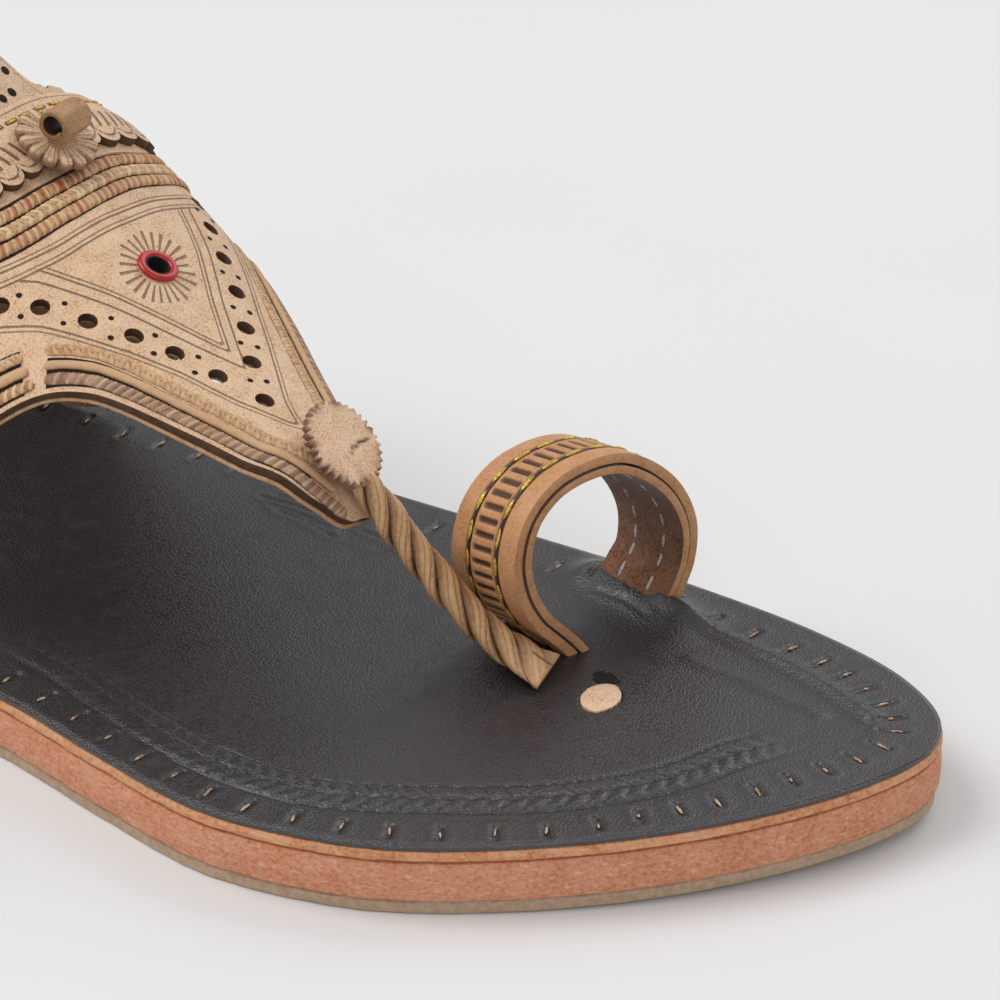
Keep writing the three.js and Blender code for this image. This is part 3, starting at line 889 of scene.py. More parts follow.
@dataclass
class SharedEffects:
    """Node groups that several finishes use."""

    mottle: bpy.types.NodeTree = field(init=False)
    grain: bpy.types.NodeTree = field(init=False)
    # wear mixes in the stored tones: painted shade and highlights, dark marks, pale strip tones and
    # rust.
    wear: bpy.types.NodeTree = field(init=False)
    line: bpy.types.NodeTree = field(init=False)

    def __post_init__(self) -> None:
        """Builds the groups once."""
        self.mottle = self._mottle()
        self.grain = self._grain()
        self.wear = self._painted_shade_and_tones()
        self.line = self._line()

    def _mottle(self) -> bpy.types.NodeTree:
        """Flecks and cloudy changes of tone of dyed leather."""
        n, given, out = new_group("mottled_dye", (
            ("Base", COLOR, (1, 1, 1, 1)), ("Fleck", COLOR, (1, 1, 1, 1)),
            ("Pale", COLOR, (1, 1, 1, 1)), ("Scale", NUMBER, 700.0), ("Amount", NUMBER, 0.5),
            ("Clouds", NUMBER, 1.0),
        ), (("Color", COLOR), ("Mask", NUMBER)))
        fine = n.noise(n.place(given["Scale"]), 3.0, 0.6)
        flecks = n.ease(fine, 0.46, 0.66)
        broad = n.noise(n.place(n.math("MULTIPLY", given["Scale"], 0.11)), 2.0)
        patch = n.math("SUBTRACT", n.ease(broad, 0.32, 0.7), 0.5)
        cloudy = n.math("MULTIPLY", n.math("MULTIPLY", patch, given["Clouds"]), 0.9)
        cover = n.math("ADD", cloudy, 0.8)
        strength = n.math("MULTIPLY", flecks, n.math("MULTIPLY", given["Amount"], cover))
        bright = n.math("MULTIPLY", given["Clouds"], 0.5)
        light = n.math("MULTIPLY", n.ease(broad, 0.62, 0.35), bright)
        toned = n.mix(light, given["Base"], given["Pale"])
        n.feed(out["Color"], n.mix(strength, toned, given["Fleck"]))
        n.feed(out["Mask"], flecks)
        return n.tree

    def _grain(self) -> bpy.types.NodeTree:
        """Pebbles and pores of a leather's face, as a height from 0 to 1."""
        n, given, out = new_group("leather_grain", (
            ("Scale", NUMBER, 1800.0), ("Pores", NUMBER, 0.4)), (("Height", NUMBER),))
        cells = n.add("ShaderNodeTexVoronoi", {"feature": "F1"}, Vector=n.place(given["Scale"]),
                      Scale=1.0, Randomness=0.95).outputs["Distance"]
        pebble = n.ease(cells, 0.75, 0.1)
        pores = n.noise(n.place(n.math("MULTIPLY", given["Scale"], 0.45)), 3.0, 0.65)
        mixed = n.math("ADD", n.math("MULTIPLY", pebble, n.math("SUBTRACT", 1.0, given["Pores"])),
                       n.math("MULTIPLY", pores, given["Pores"]))
        n.feed(out["Height"], mixed)
        return n.tree

    def _painted_shade_and_tones(self) -> bpy.types.NodeTree:
        """Colour changes stored at the points: painted shade with some dark cut edges and tooled marks,
        pale strip tones with painted highlights, and rusty dye.
        """
        n, given, out = new_group("stored_tones", (
            ("Color", COLOR, (1, 1, 1, 1)), ("Dark", COLOR, (0, 0, 0, 1)),
            ("Pale", COLOR, (1, 1, 1, 1)), ("Rust", COLOR, (1, 0.3, 0.1, 1))), (("Color", COLOR),))
        color = given["Color"]
        for name, tone in (("pale", "Pale"), ("rust", "Rust"), ("painted_shade_and_marks", "Dark")):
            color = n.mix(n.math("MULTIPLY", n.field(name), 1.0, True), color, given[tone])
        n.feed(out["Color"], color)
        return n.tree

    def _line(self) -> bpy.types.NodeTree:
        """Tooled line at an offset from a stored distance, as a mask from 0 to 1."""
        n, given, out = new_group("tooled_line", (
            ("Distance", NUMBER, 9.0), ("Offset", NUMBER, 0.0), ("Half width", NUMBER, 0.25)),
            (("Mask", NUMBER),))
        away = n.math("ABSOLUTE", n.math("SUBTRACT", given["Distance"], given["Offset"]))
        full = n.math("MULTIPLY", given["Half width"], 0.3)
        n.feed(out["Mask"], n.ease(away, given["Half width"], full))
        return n.tree


def use_group(n: Nodes, tree: bpy.types.NodeTree, **inputs: object) -> bpy.types.Node:
    """Places a node group with its values."""
    node = n.add("ShaderNodeGroup", {"node_tree": tree})
    for key, value in inputs.items():
        n.feed(node.inputs[key.replace("_", " ")], value)
    return node


def new_material(name: str) -> tuple[bpy.types.Material, Nodes, bpy.types.Node]:
    """Starts a material and gives it back with its nodes and its shader."""
    material = bpy.data.materials.new(name)
    material.use_nodes = True
    shader = next(v for v in material.node_tree.nodes if v.type == "BSDF_PRINCIPLED")
    return material, Nodes(material.node_tree), shader


Screen = tuple[float, float, float]


@dataclass(frozen=True)
class LeatherFinish:
    """Dyed leather: its screen colours, its grain and how it shines."""

    name: str
    base: Screen
    fleck: Screen
    pale: Screen
    dark: Screen
    rust: Screen = (179, 101, 56)
    fleck_scale: float = 750.0
    fleck_amount: float = 0.5
    clouds: float = 0.6
    grain_scale: float = 1500.0
    grain_depth: float = 0.06
    pores: float = 0.6
    roughness: float = 0.55
    fleck_roughness: float = 0.12
    coat: float = 0.0
    coat_roughness: float = 0.4
    sheen: float = 0.0
    specular: float = 0.4

    def surface(self, n: Nodes, shared: SharedEffects) -> tuple[object, object, object]:
        """Colour, height and fleck mask of the plain leather."""
        pale = shade(*self.pale)
        dye = use_group(n, shared.mottle, Base=shade(*self.base), Fleck=shade(*self.fleck), Pale=pale,
                        Scale=self.fleck_scale, Amount=self.fleck_amount, Clouds=self.clouds)
        toned = use_group(n, shared.wear, Color=dye.outputs["Color"], Dark=shade(*self.dark),
                          Pale=pale, Rust=shade(*self.rust))
        grain = use_group(n, shared.grain, Scale=self.grain_scale, Pores=self.pores)
        return toned.outputs["Color"], grain.outputs["Height"], dye.outputs["Mask"]

    def build(self, shared: SharedEffects) -> bpy.types.Material:
        """Makes the material."""
        material, n, shader = new_material(self.name)
        color, height, mask = self.surface(n, shared)
        n.feed(shader.inputs["Base Color"], color)
        n.feed(shader.inputs["Normal"], n.bump(self.grain_depth, height))
        rougher = min(1.0, self.roughness + self.fleck_roughness)
        n.feed(shader.inputs["Roughness"], n.ease(mask, 0.0, 1.0, self.roughness, rougher))
        shader.inputs["Coat Weight"].default_value = self.coat
        shader.inputs["Coat Roughness"].default_value = self.coat_roughness
        shader.inputs["Sheen Weight"].default_value = self.sheen
        shader.inputs["Specular IOR Level"].default_value = self.specular
        return material


@dataclass(frozen=True)
class Line:
    """Tooled line at an offset from a stored distance.

    It shows where the number that the gate names is above 0, or everywhere without a gate.
    """

    distance: str
    offset: float
    half_width: float
    dark: float
    gate: str = ""


@dataclass(frozen=True)
class TooledFinish(LeatherFinish):
    """Leather with tooled lines and, round the eyelet, rays."""

    lines: tuple[Line, ...] = ()
    line_depth: float = 3.2
    rays: int = 0
    ray_start: float = 3.5
    ray_end: float = 7.0
    ray_varies: float = 1.2
    ray_fade: float = 0.4
    ray_half_width: float = 0.16
    ray_flare: float = 0.055
    ray_dark: float = 0.72

    def surface(self, n: Nodes, shared: SharedEffects) -> tuple[object, object, object]:
        """Colour, height and fleck mask with the tooling."""
        color, height, mask = super().surface(n, shared)
        dark, sunk = shade(*self.dark), 0.0
        for line in self.lines:
            shows = use_group(n, shared.line, Distance=n.field(line.distance), Offset=line.offset,
                              Half_width=line.half_width).outputs[0]
            if line.gate:
                shows = n.math("MULTIPLY", shows, n.ease(n.field(line.gate), 0.0, 0.5))
            color = n.mix(n.math("MULTIPLY", shows, line.dark), color, dark)
            sunk = n.math("MAXIMUM", sunk, shows)
        if self.rays:
            strokes = self._rays(n)
            color = n.mix(n.math("MULTIPLY", strokes, self.ray_dark), color, dark)
            sunk = n.math("MAXIMUM", sunk, strokes)
        return color, n.math("SUBTRACT", height, n.math("MULTIPLY", sunk, self.line_depth)), mask

    def _rays(self, n: Nodes) -> object:
        """Mask of the strokes round the eyelet, from where it is stored at the points."""
        where = n.add("ShaderNodeAttribute", {"attribute_name": "from_eyelet"}).outputs["Vector"]
        parts = n.add("ShaderNodeSeparateXYZ", None, Vector=where).outputs
        reach = n.add("ShaderNodeVectorMath", {"operation": "LENGTH"}, Vector=where).outputs["Value"]
        angle = n.math("ARCTAN2", parts[1], parts[0])
        turn = n.math("MULTIPLY", angle, self.rays / (2 * math.pi))
        number = n.math("FLOOR", turn)
        off = n.math("ABSOLUTE", n.math("SUBTRACT", n.math("SUBTRACT", turn, number), 0.5))
        chance = n.add("ShaderNodeTexWhiteNoise", {"noise_dimensions": "1D"}, W=number).outputs[0]
        away = n.math("MULTIPLY", n.math("MULTIPLY", off, reach), 2 * math.pi / self.rays)
        past = n.math("MULTIPLY", n.math("SUBTRACT", reach, self.ray_start), self.ray_flare)
        width = n.math("ADD", past, self.ray_half_width)
        mask = n.ease(away, width, n.math("MULTIPLY", width, 0.45))
        end = n.math("ADD", n.math("MULTIPLY", chance, self.ray_varies), self.ray_end)
        tail = n.ease(reach, end, n.math("SUBTRACT", end, self.ray_fade))
        mask = n.math("MULTIPLY", mask, tail)
        return n.math("MULTIPLY", mask, n.ease(reach, self.ray_start, self.ray_start + self.ray_fade))


@dataclass(frozen=True)
class FibreFinish(LeatherFinish):
    """Cut edge of sole leather, whose fibres run along the sole."""

    stretch: float = 5.0
    upright: float = 1.4
    fibre_depth: float = 1.2

    def surface(self, n: Nodes, shared: SharedEffects) -> tuple[object, object, object]:
        """Colour, height and fleck mask with short fibres along the edge."""
        color, height, mask = super().surface(n, shared)
        flat = self.fleck_scale / self.stretch
        scale = (flat, flat, self.fleck_scale * self.upright)
        where = n.add("ShaderNodeMapping", None, Vector=n.place(1.0), Scale=scale)
        fibre = n.noise(where.outputs[0], 4.0, 0.7)
        light = n.math("MULTIPLY", n.ease(fibre, 0.52, 0.74), 0.55)
        color = n.mix(light, color, shade(*self.pale))
        deep = n.math("MULTIPLY", n.ease(fibre, 0.48, 0.3), 0.4)
        color = n.mix(deep, color, shade(*self.fleck))
        return color, n.math("ADD", height, n.math("MULTIPLY", fibre, self.fibre_depth)), mask


@dataclass(frozen=True)
class PlainFinish:
    """Thread, metal, rubber or shade: one screen colour with a little noise in it."""

    name: str
    base: Screen
    shadow: Screen
    roughness: float = 0.5
    metallic: float = 0.0
    coat: float = 0.0
    bump_scale: float = 3000.0
    bump_depth: float = 0.03
    uneven_roughness: float = 0.08

    def build(self, shared: SharedEffects) -> bpy.types.Material:
        """Makes the material."""
        material, n, shader = new_material(self.name)
        base, shadow = shade(*self.base), shade(*self.shadow)
        uneven = n.noise(n.place(self.bump_scale), 3.0, 0.6)
        color = n.mix(n.ease(uneven, 0.35, 0.65), shadow, base)
        toned = use_group(n, shared.wear, Color=color, Dark=shadow, Pale=base, Rust=shadow)
        n.feed(shader.inputs["Base Color"], toned.outputs["Color"])
        n.feed(shader.inputs["Normal"], n.bump(self.bump_depth, uneven))
        rougher = self.roughness + self.uneven_roughness
        n.feed(shader.inputs["Roughness"], n.ease(uneven, 0.3, 0.7, rougher, self.roughness))
        shader.inputs["Metallic"].default_value = self.metallic
        shader.inputs["Coat Weight"].default_value = self.coat
        return material


PANEL = dict(
    base=(226, 190, 153), fleck=(176, 120, 82), pale=(242, 216, 184), dark=(96, 58, 36),
    rust=(186, 92, 44), fleck_scale=2900, fleck_amount=0.85, grain_scale=2400, grain_depth=0.11,
    roughness=0.5, specular=0.45,
)
PANEL_LINES = (
    Line("inner_v", 0.0, 0.2, 0.75, "top_line"), Line("inner_v", 0.8, 0.17, 0.6, "top_line"),
    Line("inner_v", -2.0, 0.22, 0.75, "top_line"), Line("outer_v", 0.0, 0.2, 0.7, "top_line"),
    Line("outer_v", -0.8, 0.15, 0.5, "top_line"), Line("top_line", 0.0, 0.2, 0.7),
    Line("top_line", -0.8, 0.15, 0.5), Line("top_line", -2.3, 0.22, 0.7),
    Line("top_line", -3.1, 0.15, 0.5), Line("tongue_line", 0.0, 0.22, 0.7),
    Line("front_inset", 7.9, 0.18, 0.7), Line("cross_inset", 4.3, 0.3, 0.6, "cross_gate"),
)
STRAP_LINES = (
    Line("stroke", 0, 0.42, 0.85), Line("rear_line", 0, 0.16, 0.45), Line("slot", 0, 0.5, 0.97),
)
RING_LINES = (Line("stroke", 0, 0.72, 0.9), Line("slot", 0, 0.8, 0.97))
# The footbed's strokes darken the embossed band's grooves as painted shade, and a line along the fold.
FOOTBED_LINES = (Line("stroke", 0, 0.4, 0.7), Line("slot", 0, 0.8, 0.97))
FINISHES = {
    "panel": TooledFinish("tooled_panel_leather", **PANEL, lines=PANEL_LINES, rays=24),
    "strap": TooledFinish("strap_leather", **PANEL, lines=STRAP_LINES),
    "tan": LeatherFinish("tan_leather", **PANEL),
    "ring": TooledFinish(
        "ring_leather", (206, 150, 104), (162, 102, 64), (224, 176, 130), (40, 25, 18),
        fleck_scale=2400, fleck_amount=0.6, roughness=0.42, specular=0.5, lines=RING_LINES),
    "disc": LeatherFinish(
        "rosette_leather", (238, 200, 164), (194, 136, 96), (248, 226, 202), (84, 48, 30),
        fleck_scale=2900, fleck_amount=0.85, grain_scale=2400, grain_depth=0.12),
    "plait": LeatherFinish(
        "plait_leather", (196, 148, 102), (140, 92, 56), (222, 180, 134), (44, 28, 18),
        fleck_scale=1300, fleck_amount=0.6, grain_depth=0.05, roughness=0.45),
    "cord": LeatherFinish(
        "cord_leather", (204, 160, 114), (150, 100, 66), (232, 204, 160), (44, 28, 20),
        (166, 76, 40), fleck_scale=1500, grain_depth=0.03, roughness=0.5),
    "flecked_cord": LeatherFinish(
        "flecked_cord_leather", (178, 134, 98), (128, 86, 62), (206, 178, 150), (40, 26, 20),
        (104, 76, 72), fleck_scale=1500, grain_depth=0.03),
    "cut": LeatherFinish(
        "dark_cut_edge", (84, 57, 39), (50, 33, 24), (118, 84, 58), (40, 26, 18),
        grain_depth=0.08, roughness=0.7),
    "edge": LeatherFinish(
        "pale_cut_edge", (206, 164, 122), (160, 116, 80), (222, 186, 146), (90, 60, 40),
        grain_depth=0.08, roughness=0.75),
    "ring_edge": LeatherFinish(
        "ring_cut_edge", (196, 142, 98), (150, 98, 64), (222, 176, 132), (60, 38, 26),
        fleck_scale=1600, grain_depth=0.1, roughness=0.7),
    "suede": LeatherFinish(
        "brown_suede", (128, 86, 58), (70, 42, 28), (166, 118, 82), (60, 38, 26),
        fleck_scale=2000, fleck_amount=0.9, grain_scale=2200, grain_depth=0.12, roughness=0.85,
        sheen=0.3),
    "footbed": TooledFinish(
        "footbed_leather", (40, 35, 38), (33, 29, 32), (52, 46, 49), (12, 9, 9), (94, 58, 46),
        fleck_scale=260, fleck_amount=0.4, grain_scale=2300, grain_depth=0.1, pores=0.3,
        roughness=0.38, specular=0.85, coat=0.28, coat_roughness=0.42, lines=FOOTBED_LINES,
        line_depth=2.0),
    "sole": FibreFinish(
        "sole_edge_leather", (212, 144, 108), (176, 98, 64), (247, 210, 182), (80, 46, 32),
        fleck_scale=1500, fleck_amount=0.7, clouds=0.25, grain_scale=2200, grain_depth=0.14,
        roughness=0.66, stretch=2.2),
    "top_sole": FibreFinish(
        "top_sole_edge_leather", (214, 150, 106), (164, 92, 56), (240, 196, 154), (90, 56, 38),
        fleck_scale=1400, fleck_amount=0.6, grain_scale=2200, grain_depth=0.12, roughness=0.6,
        stretch=2.5),
    "rubber": PlainFinish("taupe_rubber", (188, 162, 136), (172, 146, 120), 0.6, bump_scale=900),
    "gold": PlainFinish("gold_thread", (240, 214, 110), (176, 136, 48), 0.35, 0.6),
    "tan_thread": PlainFinish("tan_thread", (240, 208, 178), (150, 104, 78), 0.7),
    "grey_thread": PlainFinish("grey_thread", (214, 212, 206), (150, 146, 140), 0.6),
    # painted_gap_shade is painted shade for the gaps between braid rows.
    "gap": PlainFinish("painted_gap_shade", (44, 28, 18), (24, 15, 10), 0.95),
    # painted_hole_shade is painted shade for holes: the pricked dots, the eyelet's barrel and the lace
    # hole.
    "black": PlainFinish("painted_hole_shade", (22, 16, 13), (10, 7, 6), 0.85),
    "enamel": PlainFinish("red_enamel", (190, 14, 30), (166, 10, 24), 0.3, 0.0, 0.3,
                          bump_scale=300, bump_depth=0.01),
}


# Upper


WALL_STRETCH = 1.14
RUN_STRETCH = 1.15
STRAP_REAR = -18.0
LONGEST_CROSS = 100.0
INNER_V = np.array((
    (-16, -28), (-7, -19.4), (22.3, 0.4), (13.9, 5.4), (5.9, 11.1), (-1, 14.6), (-10, 20),
))
OUTER_V = np.array((
    (-14, -38), (-7.2, -31.8), (-1.5, -26.3), (4.7, -21.9), (12.3, -16.2), (19.9, -10.9),
    (29.8, -5.4), (38.5, 0.4), (33.7, 2.4), (25.3, 8.3), (12.7, 17), (2, 24.5), (-6, 30.5),
))
TOP_LINE = np.array((
    (-17, -36), (-10.5, -27.1), (-5.7, -15.1), (-3.9, -1.5), (-2.6, 9.8), (-1.9, 17.8), (-3.5, 30),
))


def wall_distance(x: np.ndarray, s: np.ndarray, line: np.ndarray) -> np.ndarray:
    """Distance on the wall from places to a line of (x, s) corners."""
    flat = np.column_stack((np.ravel(x) * WALL_STRETCH, np.ravel(s)))
    corners = np.column_stack((line[:, 0] * WALL_STRETCH, line[:, 1]))
    return distance_to(flat, corners).reshape(np.shape(x))


def behind(line: np.ndarray, side: int, inset: float, start: float, end: float,
           steps: int = 60) -> np.ndarray:
    """Path of (x, s) places a distance behind a line of the upper.

    Args:
        line: the line's table.
        side: -1 for the lateral side, 1 for the medial one.
        inset: how far behind.
        start: first place in the table.
        end: last place in the table.
        steps: spans of the path.

    Returns:
        The places, one row each.
    """
    reach = np.linspace(start, end, steps + 1)
    run = RUN_STRETCH * (column(line, 1, reach + 0.5) - column(line, 1, reach - 0.5))
    size = np.hypot(1, run)
    x = column(line, 1, reach) - inset / size / RUN_STRETCH
    return np.column_stack((x, MIDLINE + side * (reach + inset * run / size)))


@dataclass
class Upper(Maker):
    """Punched and tooled V panel, wings and tongue, with their lining."""

    last: Last
    outer: float = 1.75
    lining_from: float = 1.8
    lining: float = 0.8
    lining_shows: float = 0.2
    lining_past_tip: float = 0.1
    lining_holes_wider: float = 0.5
    tip_wall: float = 60.0
    tip_back: float = 3.4
    pink_pitch: float = 2.6
    pink_depth: float = 1.5
    tongue_half: float = 17.0
    tongue_inset: float = 2.5
    cross_end: float = 87.0
    wear: float = 0.12

    def grid(self, shares: np.ndarray, front_rows: int, back_rows: int,
             is_lining: bool) -> tuple[np.ndarray, np.ndarray]:
        """Places of the sheet, as x and s.

        Args:
            shares: shares of the way down the wall, one for each column.
            front_rows: rows from the front edge to the strap's rear line.
            back_rows: rows behind it.
            is_lining: whether the front edge is the lining's, a little past the outer leather's.

        Returns:
            x and s, columns by rows.
        """
        front, rear = self.last.edge(FRONT_EDGE, shares), self.last.edge(REAR_EDGE, shares)
        side = np.where(shares < 0, -1, 1)
        reach = np.abs(shares * self.last.wall_length((front + rear) / 2, side) - MIDLINE)
        middle = column(CROSS_LINE, 1, side * np.minimum(LONGEST_CROSS, reach)) + STRAP_REAR
        middle = np.maximum(rear + 1, middle)
        front = front - self.tip_back * bell(shares * self.tip_wall, 7.0)
        if is_lining:
            past_tip = self.lining_past_tip * bell(shares * self.tip_wall + 1.5, 3.5)
            front = front + self.lining_shows + past_tip
        at = shares * self.last.wall_length(rear, side) - MIDLINE
        pinked = np.abs(at / self.pink_pitch % 1 - 0.5) * smoothstep(self.tongue_half - np.abs(at))
        rear = rear + self.pink_depth * pinked
        v = np.linspace(0, 1, front_rows)
        w = np.linspace(0, 1, back_rows + 1)[1:]
        x = np.hstack((front[:, None] + (middle - front)[:, None] * v,
                       middle[:, None] + (rear - middle)[:, None] * w))
        length = self.last.wall_length(x, np.repeat(side[:, None], x.shape[1], 1)).reshape(x.shape)
        return x, shares[:, None] * length

    def punched(self, shell: Shell, name: str, looks: Sequence[str], wider: float) -> None:
        """Makes a layer of the upper with every hole punched.

        Args:
            shell: the layer's wall.
            name: the piece's name.
            looks: names of its finishes.
            wider: what its holes' radii have over the outer leather's.
        """
        holes = [(at, HOLE_RADIUS) for at in LATERAL_HOLES + MEDIAL_HOLES]
        holes += [(at, TONGUE_HOLE_RADIUS) for at in TONGUE_HOLES] + [(EYELET_AT, EYELET_HOLE_RADIUS)]
        for at, radius in holes:
            shell.punch(*self.last.seats(*at), radius + wider)
        self.dress(shell.piece(name), "tan_leather", looks, ("upper",))

    def pins(self) -> np.ndarray:
        """Places of the pricked dots, in pairs midway between the holes."""
        places = []
        for row in (LATERAL_HOLES, MEDIAL_HOLES):
            line = np.array(row, float)
            ends = np.vstack((line, 2 * line[-1] - line[-2]))
            for a, b in zip(ends[:-1], ends[1:]):
                along = unit(b - a)
                across = np.array((-along[1], along[0])) * PIN_OFFSET
                places += [(a + b) / 2 + across, (a + b) / 2 - across]
        return np.array(places)

    def build_pins(self) -> None:
        """Makes the pricked dots as small black discs of painted shade, for the pricked holes."""
        frames = [self.last.frame(x, s, PIN_HEIGHT) for x, s in self.pins()]
        larger = Matrix.Scale(TONGUE_PIN_SIZE, 4)
        frames += [self.last.frame(x, s, PIN_HEIGHT) @ larger for x, s in TONGUE_PINS]
        self.dress(copies("pricked_dots", template(DOT), frames), "tan_leather", ("black",))

    def tooling(self, x: np.ndarray, s: np.ndarray) -> dict[str, np.ndarray]:
        """Distances to the tooled lines, stored at the points.

        Args:
            x: places along the foot.
            s: places along the wall.

        Returns:
            The numbers by attribute name.
        """
        values = {}
        for name, line in (("inner_v", INNER_V), ("outer_v", OUTER_V)):
            tip = int(line[:, 0].argmax())
            sides = []
            for half, inward in ((line[:tip + 1], 1), (line[tip:][::-1], -1)):
                half = np.vstack((half, half[-1] + (half[-1] - half[-2]) * 3))
                sign = np.where(s > np.interp(x, half[:, 0], half[:, 1]), inward, -inward)
                sides.append(wall_distance(x, s, half) * sign)
            values[name] = np.minimum(*sides)
        top = spread(rounded_curve(TOP_LINE, False, 12), 60)
        front = np.where(x > np.interp(s, top[:, 1], top[:, 0]), 1, -1)
        values["top_line"] = wall_distance(x, s, top) * front
        rim = [behind(FRONT_EDGE, side, 0, 0, 92) for side in (-1, 1)]
        values["front_inset"] = wall_distance(x, s, np.vstack((rim[0][::-1], rim[1])))
        crossing = behind(CROSS_LINE, 1, 0, -95, 95, 80)
        ahead = np.interp(s, crossing[:, 1], crossing[:, 0])
        values["cross_inset"] = wall_distance(x, s, crossing) * np.where(x > ahead, -1, 1)
        values["cross_gate"] = self.cross_end - np.abs(s)
        values["tongue_line"] = (x - x[:, -1:]) * 1.1 - self.tongue_inset
        values["from_eyelet"] = np.stack(
            ((x - EYELET_AT[0]) * WALL_STRETCH, s - EYELET_AT[1], np.zeros_like(x)), -1)
        return values

    def build(self) -> None:
        """Makes the outer leather, the lining and the pricked dots."""
        shares = np.concatenate((
            np.arange(-1, -0.6, 0.022), np.arange(-0.6, 0, 0.0072),
            np.arange(0, 0.62, 0.0095), np.linspace(0.62, 1, 16),
        ))
        x, s = self.grid(shares, 146, 34, False)
        points, normals = self.last.seats(x, s)
        worn = ripple(3, x + 0.4 * s, (31, 17)) * ripple(4, s * 1.1 - 0.3 * x, (23, 13))
        points += normals * (self.wear * worn)[..., None]
        shell = Shell(points, normals, self.outer, self.tooling(x, s))
        self.punched(shell, "upper_leather", ("panel", "cut", "suede"), 0.0)
        shares = np.concatenate((
            np.linspace(-1, -0.6, 12), np.arange(-0.588, 0.6, 0.013), np.linspace(0.61, 1, 12),
        ))
        points, normals = self.last.seats(*self.grid(shares, 100, 24, True))
        lining = Shell(points - normals * self.lining_from, normals, self.lining)
        self.punched(lining, "upper_lining", ("edge", "edge", "suede"), self.lining_holes_wider)
        self.build_pins()


# Trim


@dataclass(frozen=True)
class Row:
    """How a row of trim looks, and how far it lies behind its line.

    Its tones are how pale one strip is and how rusty the other.
    """

    braid: Braid
    tones: tuple[float, float]
    inset: float
    width: float
    height: float = 0.8


FRONT_ROWS = (
    Row(Braid.TWIST, (0.8, 0.6), 1.9, 2.25),
    Row(Braid.SMOOTH, (0.3, 0.25), 4.0, 1.6, 0.85),
    Row(Braid.WOVEN, (0.3, 0.15), 6.4, 2.3, 0.5),
)
LEG_ROWS = tuple(
    Row(row.braid, row.tones, FRONT_ROWS[1].inset + place * 2.2, 1.95)
    for place, row in zip((-1, 0, 1), FRONT_ROWS)
)
CROSS_ROWS = (
    Row(Braid.TWIST, (0.35, 0.8), 2.7, 2.45),
    Row(Braid.HERRINGBONE, (0.9, 0.1), 0.0, 2.5),
    Row(Braid.TWIST, (0.45, 0.75), -2.7, 2.45),
)
BRAID_PITCH = {Braid.TWIST: (0.72, 1.2), Braid.HERRINGBONE: (1.1, 1.3), Braid.WOVEN: (0.9, 1.2)}
SEAT_ACROSS = np.array((-0.5, -0.5, -0.25, 0, 0.25, 0.5, 0.5))
SEAT_HEIGHT = np.array((-0.15, 0.1, 0.12, 0.12, 0.12, 0.1, -0.15))


